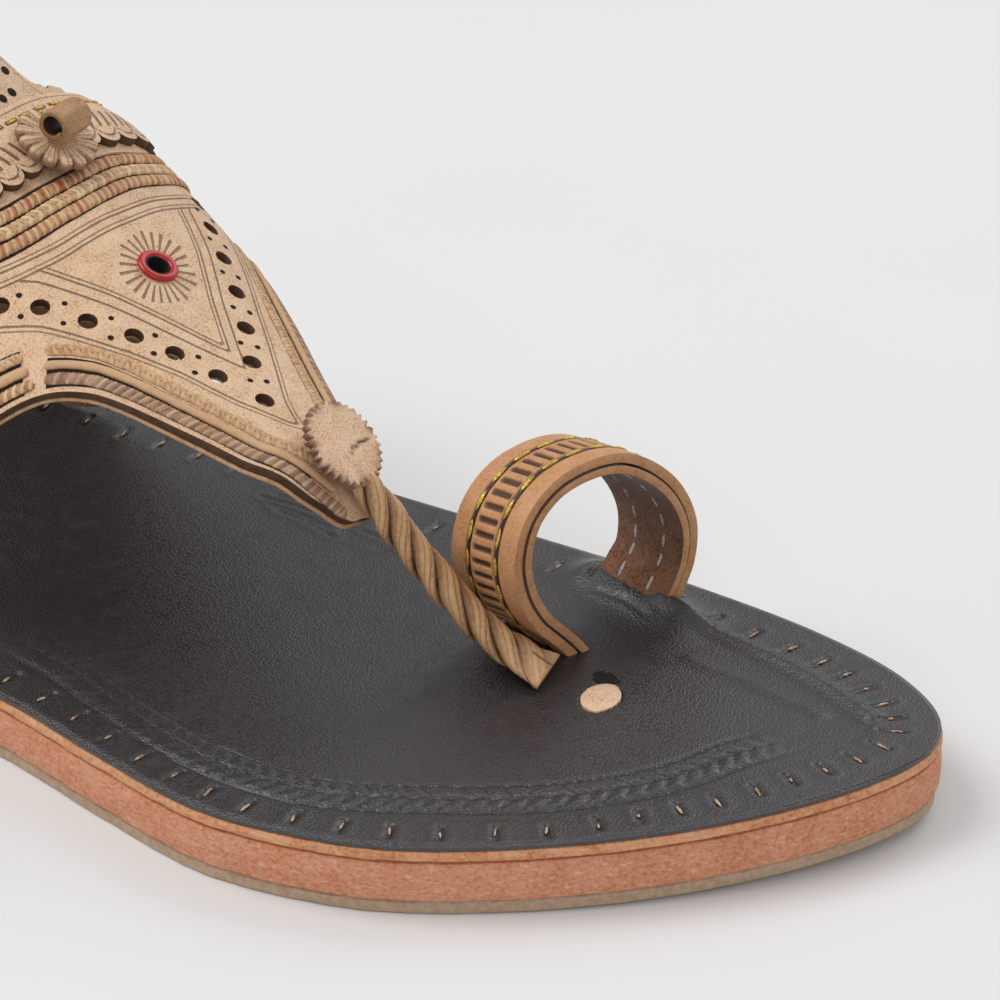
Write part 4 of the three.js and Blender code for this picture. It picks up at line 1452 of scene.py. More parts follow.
@dataclass
class Trim(Maker):
    """Rows of braid and cord sewn on the upper, over thin dark seats that are painted shade for the
    gaps between rows.
    """

    last: Last
    step: float = 0.16
    around: int = 9
    sunk: float = 0.12
    lumps: float = 0.06
    patch: float = 2.1
    chances: int = 4000
    row_end: float = 86.0

    def across(self, x: np.ndarray, s: np.ndarray) -> tuple[np.ndarray, np.ndarray, np.ndarray]:
        """Points, normals and sideways directions of a path on the wall."""
        middle, normal = self.last.seats(x, s)
        return middle, normal, unit(np.cross(np.gradient(middle, axis=0), normal))

    def cord(self, path: np.ndarray, row: Row) -> Body:
        """One cord along a path of (x, s) places."""
        length = running_length(self.last.point(path[:, 0], path[:, 1]))
        at = np.linspace(0, length[-1], int(length[-1] / self.step) + 1)
        x, s = np.interp(at, length, path[:, 0]), np.interp(at, length, path[:, 1])
        middle, normal, side = self.across(x, s)
        angle = np.linspace(0, math.pi, self.around)
        u, v = -np.cos(angle)[None] / 2, np.sin(angle)[None] ** 0.55
        along = at[:, None]
        ridge, parity = self.worked(row.braid, along, u)
        end = np.minimum(at, at[-1] - at)
        round_end = np.sqrt(1 - (1 - np.clip(end / (row.width / 2), 0.02, 1)) ** 2)
        lumps = 1 + self.lumps * ripple(int(100 * abs(path[0, 1])), at, (5.3, 3.1))
        wide = (row.width * lumps * round_end)[:, None] * u * (0.93 + 0.07 * ridge)
        high = (row.height * np.minimum(1, round_end * 1.2))[:, None] * v * (0.7 + 0.3 * ridge)
        high = high - self.sunk
        points = middle[:, None] + side[:, None] * wide[..., None] + normal[:, None] * high[..., None]
        # Painted shade: the cord darkens at its foot against the wall and in the grooves between its
        # strips.
        foot = np.broadcast_to(smoothstep((0.25 - v) / 0.25), ridge.shape)
        painted_shade_and_marks = np.maximum(foot, smoothstep((0.4 - ridge) / 0.4) * 0.85)
        pale, rusty = row.tones
        # A smooth cord gets a painted highlight, paler towards its top; braided strips keep their own
        # pale or rusty tone.
        if row.braid is Braid.SMOOTH:
            pale, rust = 0.25 + 0.25 * v * np.ones_like(ridge), np.full(ridge.shape, rusty)
        else:
            chance = np.random.default_rng(len(at)).uniform(0.25, 1.1, self.chances)
            vary = chance[(parity * 7 + (along // self.patch).astype(int)) % self.chances]
            even = (parity + (chance[parity // 3 % self.chances] > 0.9)) % 2 == 0
            pale, rust = np.where(even, pale * vary, 0), np.where(even, 0, rusty * vary)
        values = {"painted_shade_and_marks": painted_shade_and_marks.ravel(), "pale": pale.ravel(), "rust": rust.ravel()}
        return points.reshape(-1, 3), sweep(points), values

    def worked(self, braid: Braid, along: np.ndarray,
               across: np.ndarray) -> tuple[np.ndarray, np.ndarray]:
        """Relief and strip number of a braid at places along and across it."""
        if braid is Braid.SMOOTH:
            shape = np.broadcast(along, across).shape
            return np.ones(shape), np.zeros(shape, int)
        pitch, slant = BRAID_PITCH[braid]
        lean = across if braid is Braid.TWIST else np.abs(across)
        phase = along / pitch + slant * lean + (0.5 * (across > 0) if braid is Braid.WOVEN else 0)
        ridge = np.abs(np.sin(math.pi * phase)) ** 0.6
        if braid is not Braid.TWIST:
            ridge = ridge * (1 - 0.6 * bell(across, 0.07))
        return ridge, np.floor(phase).astype(int) + 40

    def bed(self, path: np.ndarray, width: float) -> Body:
        """Thin dark strip that the rows lie on: painted shade that shows in the gaps between them."""
        x, s = spread(path, 240).T
        _, normal, side = self.across(x, s)
        down = unit(self.last.point(x, s + 0.5) - self.last.point(x, s - 0.5))
        turned = (side * down).sum(1)
        u = SEAT_ACROSS * width
        points, _ = self.last.seats(x[:, None] + side[:, :1] * u, s[:, None] + turned[:, None] * u)
        points = points + normal[:, None] * SEAT_HEIGHT[:, None]
        return points.reshape(-1, 3), sweep(points), {}

    def build(self) -> None:
        """Makes every row, then the seats."""
        for word, side in (("lateral", -1), ("medial", 1)):
            for k, row in enumerate(FRONT_ROWS):
                path = behind(FRONT_EDGE, side, row.inset, 5 + 0.45 * row.inset, 34.5 - 0.1 * row.inset)
                name, look = f"front_braid_{word}_{k + 1}", "cord" if k else "flecked_cord"
                piece = joined(f"{name}_cord", [self.cord(path, row)])
                self.dress(piece, "cord_leather", (look,), (name,))
            cords = []
            for k, row in enumerate(LEG_ROWS):
                path = behind(FRONT_EDGE, side, row.inset, 35.8 + 0.6 * k, self.row_end + 1)
                cords.append(self.cord(path, row))
            name = f"leg_braid_front_{word}"
            self.dress(joined(f"{name}_cords", cords), "cord_leather", ("cord",), (name,))
        for k, row in enumerate(CROSS_ROWS):
            path = behind(CROSS_LINE, 1, row.inset, -self.row_end, self.row_end, 140)
            name = f"cross_braid_{k + 1}"
            piece = joined(f"{name}_cord", [self.cord(path, row)])
            self.dress(piece, "cord_leather", ("cord",), (name,))
        # The seats are dark strips of painted shade under the rows.
        beds = [self.bed(behind(CROSS_LINE, 1, 0.1, 1 - self.row_end, self.row_end - 1, 140), 8.0)]
        for side in (-1, 1):
            beds.append(self.bed(behind(FRONT_EDGE, side, 2.95, 9.5, 33.8), 4.4))
            beds.append(self.bed(behind(FRONT_EDGE, side, 4.0, 37.5, self.row_end), 6.1))
        self.dress(joined("painted_braid_gap_shade", beds), "cord_leather", ("gap",))


@dataclass
class InstepStrap(Maker):
    """Scalloped strap behind the cross braids, with its ladder and gold stitches."""

    last: Last
    base: float = 0.15
    thickness: float = 1.5
    front: float = -5.4
    notch: float = 2.0
    lobe: float = 4.77
    lobes: int = 36
    lobe_steps: int = 16
    rows: int = 36
    crown: float = 0.22
    sunk: float = 0.2
    rear_inset: float = 1.0
    stitch_line: float = -15.2
    stitch_pitch: float = 3.6
    slot_half: float = 1.1
    ladder_line: float = -10.2
    ladder_pitch: float = 1.9
    rung_half: float = 1.5
    thread: tuple[float, float, float] = (2.3, 0.62, 0.55)

    def build(self) -> None:
        """Makes the strap and its stitches."""
        half = self.lobes * self.lobe / 2
        p = np.linspace(-half, half, self.lobes * self.lobe_steps + 1)
        phase = (p / self.lobe + self.lobes / 2) % 1
        scallop = np.sqrt(np.clip(1 - (2 * phase - 1) ** 2, 0, 1))[:, None]
        size = 1 + 0.12 * ripple(9, p, (19, 11))[:, None]
        front = self.front - self.notch * (1 - scallop * size)
        back = front + (STRAP_REAR - front) * np.linspace(0, 1, self.rows)
        along = np.repeat(p[:, None], self.rows, 1)
        points, normals = self.last.seats(column(CROSS_LINE, 1, p)[:, None] + back, along + MIDLINE)
        crown = self.crown * smoothstep((back - STRAP_REAR) / 1.5) * smoothstep((front - back) / 1.5)
        points += normals * (self.base + self.thickness + crown - self.sunk)[..., None]
        slant = np.where(along > 6, 0.45, 0.0)
        near = np.abs((along + slant * (back - self.ladder_line)) / self.ladder_pitch % 1 - 0.5)
        rung = np.abs(back - self.ladder_line) - self.rung_half
        stroke = np.maximum(near * self.ladder_pitch, rung)
        crescent = np.abs(back - (front - 1.1 - 0.8 * (1 - scallop)))
        stroke = np.minimum(stroke, crescent + 0.12)
        dash = np.abs(along / self.stitch_pitch % 1 - 0.5) * self.stitch_pitch
        slot = np.maximum(np.abs(back - self.stitch_line), dash - self.slot_half)
        values = {"stroke": stroke, "slot": slot, "rear_line": back - (STRAP_REAR + self.rear_inset)}
        piece = Shell(points, normals, self.thickness, values).piece("instep_strap_leather")
        self.dress(piece, "tan_leather", ("strap", "cut", "suede"), ("instep_strap",))
        frames = []
        for k in range(int(-half / self.stitch_pitch) + 1, int(half / self.stitch_pitch)):
            p = (k + 0.5) * self.stitch_pitch + np.array((-0.5, 0, 0.5))
            at, normals = self.last.seats(column(CROSS_LINE, 1, p) + self.stitch_line, p + MIDLINE)
            place = at[1] + normals[1] * (self.base + self.thickness + 0.1)
            frames.append(basis(place, at[2] - at[0], normals[1], self.thread))
        self.dress(copies("strap_stitches", template(THREAD), frames), "tan_leather", ("gold",))


# Rosettes, knot and eyelet


Polar = Callable[[np.ndarray, np.ndarray], np.ndarray]

DISC_EDGE = ((0.02, 0), (0.6, 0), (0.97, 0), (1.0, 0.12), (1.01, 0.5), (1.0, 0.88))
DISC_TOP = (0.985, 0.96, 0.92, 0.87, 0.8, 0.72, 0.63, 0.54, 0.45, 0.36, 0.27, 0.18, 0.09, 0.02)


def disc(radius: Polar, thickness: float, around: int, rise: Polar) -> np.ndarray:
    """Rings of a flat round piece, from the middle of its underside to the middle of its top.

    Args:
        radius: outline from the angle and the share of the way out.
        thickness: of the piece.
        around: points in each ring.
        rise: height added on top, from the same two.

    Returns:
        Rings, n by around by 3.
    """
    angle = 2 * math.pi * np.arange(around) / around
    rows = [(out, np.full(around, z * thickness)) for out, z in DISC_EDGE]
    rows += [(out, thickness + rise(angle, np.full(around, out))) for out in DISC_TOP]
    rings = []
    for out, z in rows:
        r = out * radius(angle, np.full(around, min(out, 1)))
        rings.append(np.column_stack((r * np.cos(angle), r * np.sin(angle), z)))
    return np.array(rings)


@dataclass
class Rosettes(Maker):
    """Toothed leather discs at the tip of the V and on the strap, the knot and the eyelet."""

    last: Last
    apex_at: tuple[float, float] = (44.6, 1.2)
    apex_radius: float = 7.4
    apex_teeth: int = 32
    apex_over: float = 1.6
    instep_at: tuple[float, float] = (-19.5, -0.5)
    instep_radius: float = 6.8
    instep_over: float = 2.45
    lobes: int = 14
    thickness: float = 1.8
    knot_radius: float = 3.2
    knot_over: float = 3.05
    knot_strip: float = 1.05
    knot_length: float = 7.4
    knot_turns: float = 1.25
    knot_steps: int = 110
    eyelet_over: float = 0.45

    def build(self) -> None:
        """Makes the two discs, the knot and the eyelet."""
        self.build_apex()
        self.build_instep()
        self.build_knot()
        self.build_eyelet()

    def build_apex(self) -> None:
        """Plain speckled disc with uneven teeth and a short crease."""
        uneven = np.random.default_rng(12).uniform(0.6, 1.25, self.apex_teeth)

        def outline(angle: np.ndarray, out: np.ndarray) -> np.ndarray:
            """Toothed outline."""
            turn = angle * self.apex_teeth / (2 * math.pi)
            tooth = uneven[turn.astype(int) % self.apex_teeth]
            notch = np.abs(np.cos(math.pi * turn)) ** 1.5 * tooth * 0.85
            return self.apex_radius - notch * smoothstep((out - 0.8) / 0.2)

        def rise(angle: np.ndarray, out: np.ndarray) -> np.ndarray:
            """Slight dome, with a crease across it."""
            x, y = out * np.cos(angle) * self.apex_radius, out * np.sin(angle) * self.apex_radius
            wavy = 0.25 * np.sin(7 * angle) + 0.2 * np.sin(11 * angle + 1)
            return 0.3 * (1 - out ** 2) - 0.22 - 0.3 * self.crease(x, y) + 0.3 * wavy * out ** 3

        rings = disc(outline, self.thickness, self.apex_teeth * 8, rise)
        frame = self.last.frame(*self.apex_at, GAP + self.apex_over)
        # Painted shade: the crease is dark; the rim below it is the dark cut edge.
        crease = self.crease(rings[..., 0], rings[..., 1]) * (rings[..., 2] > 1)
        edge = smoothstep((1.75 - rings[..., 2]) / 0.3) * 0.75
        painted_shade_and_marks = np.maximum(0.95 * crease, edge)
        self.dress_rings("rosette_apex_leather", "rosette_apex", rings, frame, "disc", painted_shade_and_marks, 45)

    def crease(self, x: np.ndarray, y: np.ndarray) -> np.ndarray:
        """Mask of the short fold across the disc at the V's tip, dented and painted dark as its shade.
        """
        bent = x - 1.3 - 0.06 * (y - 2.2) ** 2 + 0.12 * np.sin(3 * y)
        return bell(bent, 0.3) * smoothstep((3.6 - np.abs(y - 2.2)) / 1.6)

    def build_instep(self) -> None:
        """Lobed disc with a tooled line down each notch."""
        def outline(angle: np.ndarray, out: np.ndarray) -> np.ndarray:
            """Lobed outline."""
            notch = 1 - np.abs(np.sin(self.lobes * angle / 2)) ** 0.6
            return self.instep_radius - 1.15 * notch * smoothstep((out - 0.7) / 0.3)

        def rise(angle: np.ndarray, out: np.ndarray) -> np.ndarray:
            """Puffed lobes."""
            lobe = np.abs(np.sin(self.lobes * angle / 2))
            puff = 0.28 * (lobe - 0.6) * smoothstep((out - 0.3) / 0.3)
            return -0.15 + puff - 0.2 * smoothstep((out - 0.9) / 0.1)

        rings = disc(outline, self.thickness, self.lobes * 12, rise)
        x, y, z = np.moveaxis(rings, -1, 0)
        angle, out = np.arctan2(y, x), np.hypot(x, y)
        groove = (1 - np.abs(np.sin(self.lobes * angle / 2))) ** 2 * smoothstep((out - 3) / 1.5)
        # Painted shade: dark fold lines like ruffles across the top, which the shape itself lacks.
        folds = np.abs(np.sin(17 * angle + 0.6 * np.sin(5 * angle))) ** 6 * smoothstep(out - 2)
        groove = np.maximum(groove, 0.8 * folds * (z > 1))
        painted_shade_and_marks = np.maximum(groove * 0.75, smoothstep((1.5 - z) / 0.4) * 0.7)
        frame = self.last.frame(*self.instep_at, self.instep_over)
        self.dress_rings("rosette_instep_leather", "rosette_instep", rings, frame, "tan", painted_shade_and_marks)

    def build_knot(self) -> None:
        """Leather strip rolled up on itself."""
        steps = self.knot_steps
        turn = np.linspace(0, 1, steps)
        angle = -0.5 * math.pi + 2 * math.pi * self.knot_turns * turn
        radius = self.knot_radius - self.knot_strip / 2 - 0.95 * turn
        out = np.column_stack((np.cos(angle), np.zeros(steps), np.sin(angle)))
        corner = np.linspace(0, 2 * math.pi, 16, endpoint=False)
        sine, cosine = np.sin(corner), np.cos(corner)
        flat = np.sign(sine) * np.abs(sine) ** 0.35 * self.knot_length / 2
        thick = np.sign(cosine) * np.abs(cosine) ** 0.5 * self.knot_strip / 2
        end = np.minimum(1, np.sqrt(np.clip(np.minimum(turn, 1 - turn) * steps / 4, 0.05, 1)))
        rings = (radius[:, None] * out)[:, None] + out[:, None] * (thick * end[:, None])[..., None]
        rings = rings + np.array((0, 1, 0)) * (flat * (0.9 + 0.1 * end[:, None]))[..., None]
        height = self.instep_over + self.thickness + GAP + self.knot_over
        frame = self.last.frame(*self.instep_at, height)
        ends = np.abs(np.broadcast_to(flat, rings.shape[:2])) / (self.knot_length / 2)
        # Painted shade: the roll's inner face is dark; its cut ends are dark and its surface unevenly
        # dark.
        inner = np.broadcast_to(thick < -0.3, rings.shape[:2]) * 0.97
        rough = 0.22 + 0.2 * ripple(51, 20 * turn[:, None] + 3 * flat[None], (5, 2.3)) ** 2
        painted_shade_and_marks = np.maximum(smoothstep((ends - 0.93) / 0.07) * 0.6, inner * (ends < 0.97))
        painted_shade_and_marks = np.maximum(painted_shade_and_marks, rough)
        self.dress_rings("knot_roll", "knot_instep", rings, frame, "plait", painted_shade_and_marks, 45)

    def build_eyelet(self) -> None:
        """Enamelled eyelet: rolled flange and barrel."""
        def flange() -> None:
            """Torus pressed flat."""
            bpy.ops.mesh.primitive_torus_add(major_segments=48, minor_segments=14,
                                             major_radius=2.72, minor_radius=0.72)
            resize_points((1, 1, 0.75))

        def barrel() -> None:
            """Open tube with a wall."""
            bpy.ops.mesh.primitive_cylinder_add(vertices=48, radius=2.05, depth=3.4,
                                                end_fill_type="NOTHING", location=(0, 0, -1.5))
            bpy.ops.object.transform_apply(location=True)
            wall = bpy.context.view_layer.objects.active.modifiers.new("wall", "SOLIDIFY")
            wall.thickness = 0.3
            wall.offset = -1
            bpy.ops.object.modifier_apply(modifier="wall")

        frame = self.last.frame(*EYELET_AT, self.eyelet_over)
        # The barrel is black: painted shade inside the eyelet's hole.
        parts = (("eyelet_flange", flange, "enamel"), ("eyelet_barrel", barrel, "black"))
        for name, build, look in parts:
            points, faces = template(build)
            piece = joined(name, [(placed(points, frame), faces, {})], 45)
            self.dress(piece, "red_metal", (look,), ("eyelet",))


# Plait


TAB_AT = (88.9, 8.3)
TAB_OUTLINE = (
    (86.4, 5.9), (85.8, 8.2), (86, 10.4), (87.2, 12.1), (88.8, 12.6), (90.3, 11.5), (91.3, 10),
    (91.8, 8), (91.5, 5.8), (90.5, 3.9), (88.6, 4.0),
)
HOLE_AT = (86.6, 13.6)


@dataclass
class Plait(Maker):
    """Three strips twisted together from the V's tip to the footbed, with a fanned end and a tab."""

    path: tuple = (
        (50.0, 1.2, 43.2), (52.8, 2, 39.3), (55.2, 2.9, 35.8), (59.4, 4.2, 29.9),
        (64.4, 5.6, 24), (69.5, 7, 18.8), (74.5, 8.2, 15.4), (79, 9, 13.5),
    )
    strips: int = 3
    width: float = 5.9
    depth: float = 4.1
    fan: float = 9.0
    fan_depth: float = 1.5
    fan_from: float = 0.78
    lead: float = 19.0
    around: int = 96
    steps: int = 210
    tab_thickness: float = 1.2
    tab_from: float = -1.05
    hole_thickness: float = 0.5
    hole_from: float = -0.4
    disc_steps: int = 72

    def build(self) -> None:
        """Makes the twist, the tab and the hole."""
        self.build_twist()
        self.build_tab()
        self.build_hole()

    def build_twist(self) -> None:
        """Three strips wound round each other, flattened into a fan at the foot."""
        middle = spread(rounded_curve(self.path, False, 40), self.steps)
        along = unit(np.gradient(middle, axis=0))
        side = unit(np.array((0, 1, 0)) - along * along[:, 1:2])
        up = np.cross(along, side)
        length = running_length(middle)[:, None]
        share = length / length[-1]
        fan = smoothstep((share - self.fan_from) / (1 - self.fan_from))
        angle = (2 * math.pi * np.arange(self.around) / self.around)[None]
        uneven = 0.1 * ripple(41, length, (23, 11))
        turn = (angle - 2 * math.pi * (length / self.lead) + uneven) * self.strips / (2 * math.pi)
        strip = turn - np.floor(turn)
        lobe = np.minimum(1, strip / 0.12) ** 0.6 * np.minimum(1, (1 - strip) / 0.55) ** 0.5
        number = np.floor(turn).astype(int) % self.strips
        bulk = 1 + 0.05 * ripple(43, length, (13, 7)) + np.array((0.03, -0.03, 0.0))[number]
        bulk = bulk * (0.86 + 0.14 * smoothstep(share / 0.1))
        groove = 0.36 * (1 - lobe) * (1 - 0.85 * fan)
        streaks = 2 * math.pi * (strip * 4 + 3 * uneven)
        radius = bulk * (1.08 - groove + 0.02 * np.sin(streaks) * (1 - 0.5 * fan))
        half = (self.width + (self.fan - self.width) * fan) / 2
        deep = (self.depth + (self.fan_depth - self.depth) * fan) / 2
        sine = np.sin(angle)
        across = half * radius * np.cos(angle)
        high = deep * radius * np.sign(sine) * np.abs(sine) ** (1 - 0.4 * fan)
        rings = middle[:, None] + side[:, None] * across[..., None] + up[:, None] * high[..., None]
        # Painted shade in the grooves between the strips.
        crease = (1 - lobe) ** 1.3 * (1 - 0.55 * fan) * 1.25
        lines = 0.45 * smoothstep((np.cos(streaks) - 0.6) / 0.4)
        crease = np.maximum(crease, lines * (1 - 0.4 * fan))
        slit = bell(across - 1.0, 0.28) * smoothstep((share - 0.9) / 0.02) * (high > 0)
        rim = smoothstep((share - 0.985) / 0.01) * 0.3
        painted_shade_and_marks = np.maximum(np.maximum(crease, slit * 0.95), rim)
        # Painted highlight along each strip's crest; the fanned end is paler.
        pale = 0.5 * bell(strip - 0.45, 0.2) + 0.3 * fan
        body = (rings.reshape(-1, 3), sweep(rings), {"painted_shade_and_marks": painted_shade_and_marks.ravel(), "pale": pale.ravel()})
        self.dress(joined("plait_leather", [body]), "tan_leather", ("plait",), ("plait",))

    def build_tab(self) -> None:
        """Rounded end of the plait's lace beside its hole in the footbed."""
        corners = np.array(TAB_OUTLINE) - TAB_AT
        turns = np.arctan2(corners[:, 1], corners[:, 0])
        order = np.argsort(turns)
        reach = np.linalg.norm(corners, axis=1)[order]

        def outline(angle: np.ndarray, _out: np.ndarray) -> np.ndarray:
            """Rounded outline."""
            return np.interp(angle, turns[order], reach, period=2 * math.pi)

        def rise(_angle: np.ndarray, out: np.ndarray) -> np.ndarray:
            """Low dome."""
            return 0.3 * (1 - out ** 3)

        rings = disc(outline, self.tab_thickness, self.disc_steps, rise)
        frame = Matrix.Translation((*TAB_AT, INSOLE_TOP + self.tab_from))
        painted_shade_and_marks = smoothstep((1.15 - rings[..., 2]) / 0.3) * 0.7
        self.dress_rings("plait_tab_leather", "plait_tab", rings, frame, "disc", painted_shade_and_marks)

    def build_hole(self) -> None:
        """Makes the torn hole that the lace goes into, as a black disc of painted shade."""
        def outline(angle: np.ndarray, _out: np.ndarray) -> np.ndarray:
            """Ragged oval."""
            ragged = 1 + 0.1 * np.sin(5 * angle + 1) + 0.07 * np.sin(9 * angle)
            ragged = ragged + 0.05 * np.sin(17 * angle)
            return ragged / np.hypot(np.cos(angle + 0.45) / 2.5, np.sin(angle + 0.45) / 1.75)

        def rise(_angle: np.ndarray, out: np.ndarray) -> np.ndarray:
            """Hollow towards the middle."""
            return -0.25 * (1 - out)

        rings = disc(outline, self.hole_thickness, self.disc_steps, rise)
        frame = Matrix.Translation((*HOLE_AT, INSOLE_TOP + self.hole_from))
        piece = joined("lace_hole", [(placed(rings, frame), sweep(rings), {})])
        self.dress(piece, "footbed_leather", ("black",))


# Toe ring


@dataclass
class ToeRing(Maker):
    """Loop for the big toe: stitched outer leather over a suede lining."""

    at: tuple[float, float] = (79.3, 20.4)
    heading: float = 70.0
    width: float = 15.2
    drop: float = 2.5
    outer: float = 1.6
    lining_from: float = 2.05
    lining: float = 1.3
    rim: tuple = (
        (-0.9, -3.4), (-3.7, 0.4), (-6.9, 3.9), (-10.4, 7.7), (-13.6, 13.6), (-14.8, 20.4),
        (-12.6, 27.6), (-7.2, 32.2), (0, 33.7), (7.5, 32.7), (14.5, 28.6), (20.2, 22.4),
        (23.2, 15.2), (22.8, 8.4), (20.6, 3.8), (18.5, 0.4), (16.6, -2.6),
    )
    columns: int = 380
    rows: int = 48
    lining_rows: int = 20
    stitch_rows: tuple[float, float] = (4.4, 11.1)
    stitch_pitch: float = 4.9
    stitch_columns: int = 600
    outer_thread: tuple[float, float, float] = (3.3, 0.75, 0.7)
    inner_thread: tuple[float, float, float] = (2.6, 0.6, 0.4)
    rung_pitch: float = 2.35
    rung_reach: float = 1.7

    def curve(self, count: int) -> tuple[np.ndarray, np.ndarray, np.ndarray]:
        """Rim points, their directions and the length along the rim."""
        points = spread(rounded_curve(self.rim, False, 30), count)
        return points, unit(np.gradient(points, axis=0)), running_length(points)

    def place(self, points: np.ndarray, along: np.ndarray, depth: np.ndarray | float,
              share: np.ndarray) -> tuple[np.ndarray, np.ndarray]:
        """Points and normals across the ring's width.

        Args:
            points: rim points.
            along: their directions.
            depth: how far in from the outer face.
            share: of the width, 0 at the front rim.

        Returns:
            Points and normals, columns by rows by 3.
        """
        angle = math.radians(self.heading)
        across = np.array((math.cos(angle), math.sin(angle), 0))
        back = np.array((-math.sin(angle), math.cos(angle), 0)) * self.width
        a, z = points[:, :1], points[:, 1:]
        tx, ty = along[:, :1], along[:, 1:]
        drop = self.drop * smoothstep((z - 1) / 10)
        origin = np.array((*self.at, SOLE_PLANE))
        where = origin + across * (a + ty * depth)[..., None] + back * share[None, :, None]
        where[..., 2] += z - tx * depth - drop * share[None]
        normal = across * (-ty)[..., None] + np.array((0, 0, 1)) * tx[..., None]
        return where, np.broadcast_to(normal, where.shape).copy()

    def build(self) -> None:
        """Makes both layers and their stitches."""
        points, along, length = self.curve(self.columns)
        share = np.linspace(0, 1, self.rows)
        bow = 0.25 * (1 - (2 * share - 1) ** 2)[None]
        across = share[None] * self.width
        rung = np.abs(length[:, None] / self.rung_pitch % 1 - 0.5) * self.rung_pitch
        stroke = np.maximum(rung, np.abs(across - sum(self.stitch_rows) / 2) - self.rung_reach)
        slot = np.min([np.abs(across - row) for row in self.stitch_rows], 0)
        slot = slot * np.ones((self.columns, 1))
        carve = 0.34 * smoothstep((0.75 - stroke) / 0.5) + 0.3 * smoothstep((0.7 - slot) / 0.4)
        where, normals = self.place(points, along, carve - bow + 0.05, share)
        outer = Shell(where, normals, self.outer, {"stroke": stroke, "slot": slot})
        self.dress(outer.piece("toe_ring_leather"), "tan_leather", ("ring", "ring_edge", "suede"),
                   ("toe_ring",))
        share = np.linspace(-0.02, 1.01, self.lining_rows)
        where, normals = self.place(points[::2], along[::2], self.lining_from, share)
        lining = Shell(where, normals, self.lining)
        self.dress(lining.piece("toe_ring_inner"), "tan_leather", ("suede", "ring_edge", "suede"),
                   ("toe_ring_lining",))
        self.build_stitches(int(length[-1] / self.stitch_pitch))

    def build_stitches(self, count: int) -> None:
        """Gold stitches outside and grey ones inside."""
        points, along, length = self.curve(self.stitch_columns)
        outside, inside = [], []
        for row in self.stitch_rows:
            share = np.array((row / self.width,))
            top, normals = self.place(points, along, -0.12, share)
            low, _ = self.place(points, along, self.lining_from + self.lining + 0.02, share)
            for k in range(count):
                i = int(np.searchsorted(length, (k + 0.5) * self.stitch_pitch))
                if 4 < i < self.stitch_columns - 5:
                    direction = top[i + 3, 0] - top[i - 3, 0]
                    outside.append(basis(top[i, 0], direction, normals[i, 0], self.outer_thread))
                    inside.append(basis(low[i, 0], direction, -normals[i, 0], self.inner_thread))
        pattern = template(THREAD)
        self.dress(copies("toe_ring_stitches", pattern, outside), "tan_leather", ("gold",))
        self.dress(copies("toe_ring_inner_stitches", pattern, inside), "tan_leather", ("grey_thread",))


# Sole


@dataclass(frozen=True)
class Layer:
    """One layer of the sole.

    Each corner of its edge, from the bottom up, is an inset, a height and the share of the
    lift that is added to it.
    """

    name: str
    node: str
    slot: str
    look: str
    wave: float
    profile: tuple[tuple[float, float, float], ...]
    front: float = FAR


LAYERS = (
    Layer("outsole_rubber", "outsole", "rubber", "rubber", 0.1, (
        (1.3, 0, 1), (0.85, 0.25, 1), (0.8, 1.0, 1), (0.85, 1.9, 1), (1.2, 2.3, 1))),
    Layer("midsole_leather", "midsole", "sole_leather", "sole", 0.14, (
        (1.1, 2.35, 1), (0.45, 2.6, 1), (0.2, 3.4, 1), (0.1, 5.8, 1), (0.2, 8.2, 1),
        (0.45, 8.9, 1), (1.1, 9.15, 1))),
    Layer("top_sole_leather", "top_sole", "edge_leather", "top_sole", 0.12, (
        (1.0, 9.2, 1), (0.25, 9.5, 1), (0.0, 10.3, 1), (0.25, 11.0, 1), (1.0, 11.25, 1))),
    Layer("heel_lift_leather", "heel_lift", "sole_leather", "sole", 0.1, (
        (1.6, 2.35, 0), (1.05, 2.6, 0), (1.0, 1.2, 0.5), (1.05, -0.4, 1), (1.6, -0.1, 1)),
        HEEL_BREAST),
    Layer("heel_top_piece_rubber", "heel_top_piece", "rubber", "rubber", 0.08, (
        (1.5, 0, 0), (1.05, 0.3, 0), (1.0, 1.2, 0), (1.05, 2.0, 0), (1.5, 2.3, 0)),
        HEEL_BREAST),
)


@dataclass
class Sole(Maker):
    """Layers of the sole under the footbed."""

    plan: SolePlan
    count: int = 380
    edge_length: float = 280.0
    seeds: tuple[int, int] = (5, 6)

    def layer(self, layer: Layer) -> bpy.types.Object:
        """Closed body whose edge follows the layer's profile."""
        sides = ([], [])
        at = np.linspace(0, self.edge_length, self.count)
        for inset, height, lifts in layer.profile:
            for rows, line, seed in zip(sides, self.plan.sides(inset), self.seeds):
                x, y = spread(line[line[:, 0] <= layer.front], self.count).T
                push = layer.wave * ripple(seed + len(rows), at, (37, 11, 5.3))
                rows.append(np.column_stack((x, y + push, lifts * lift(x) + height)))
        rings = np.stack(sides[0] + sides[1][::-1], 1)
        obj = joined(layer.name, [(rings.reshape(-1, 3), sweep(rings), {})], 35)
        activate(obj)
        bpy.ops.object.mode_set(mode="EDIT")
        bpy.ops.mesh.select_all(action="SELECT")
        bpy.ops.mesh.remove_doubles(threshold=1e-6)
        bpy.ops.object.mode_set(mode="OBJECT")
        return obj

    def build(self) -> None:
        """Makes every layer."""
        for layer in LAYERS:
            self.dress(self.layer(layer), layer.slot, (layer.look,), (layer.node,))


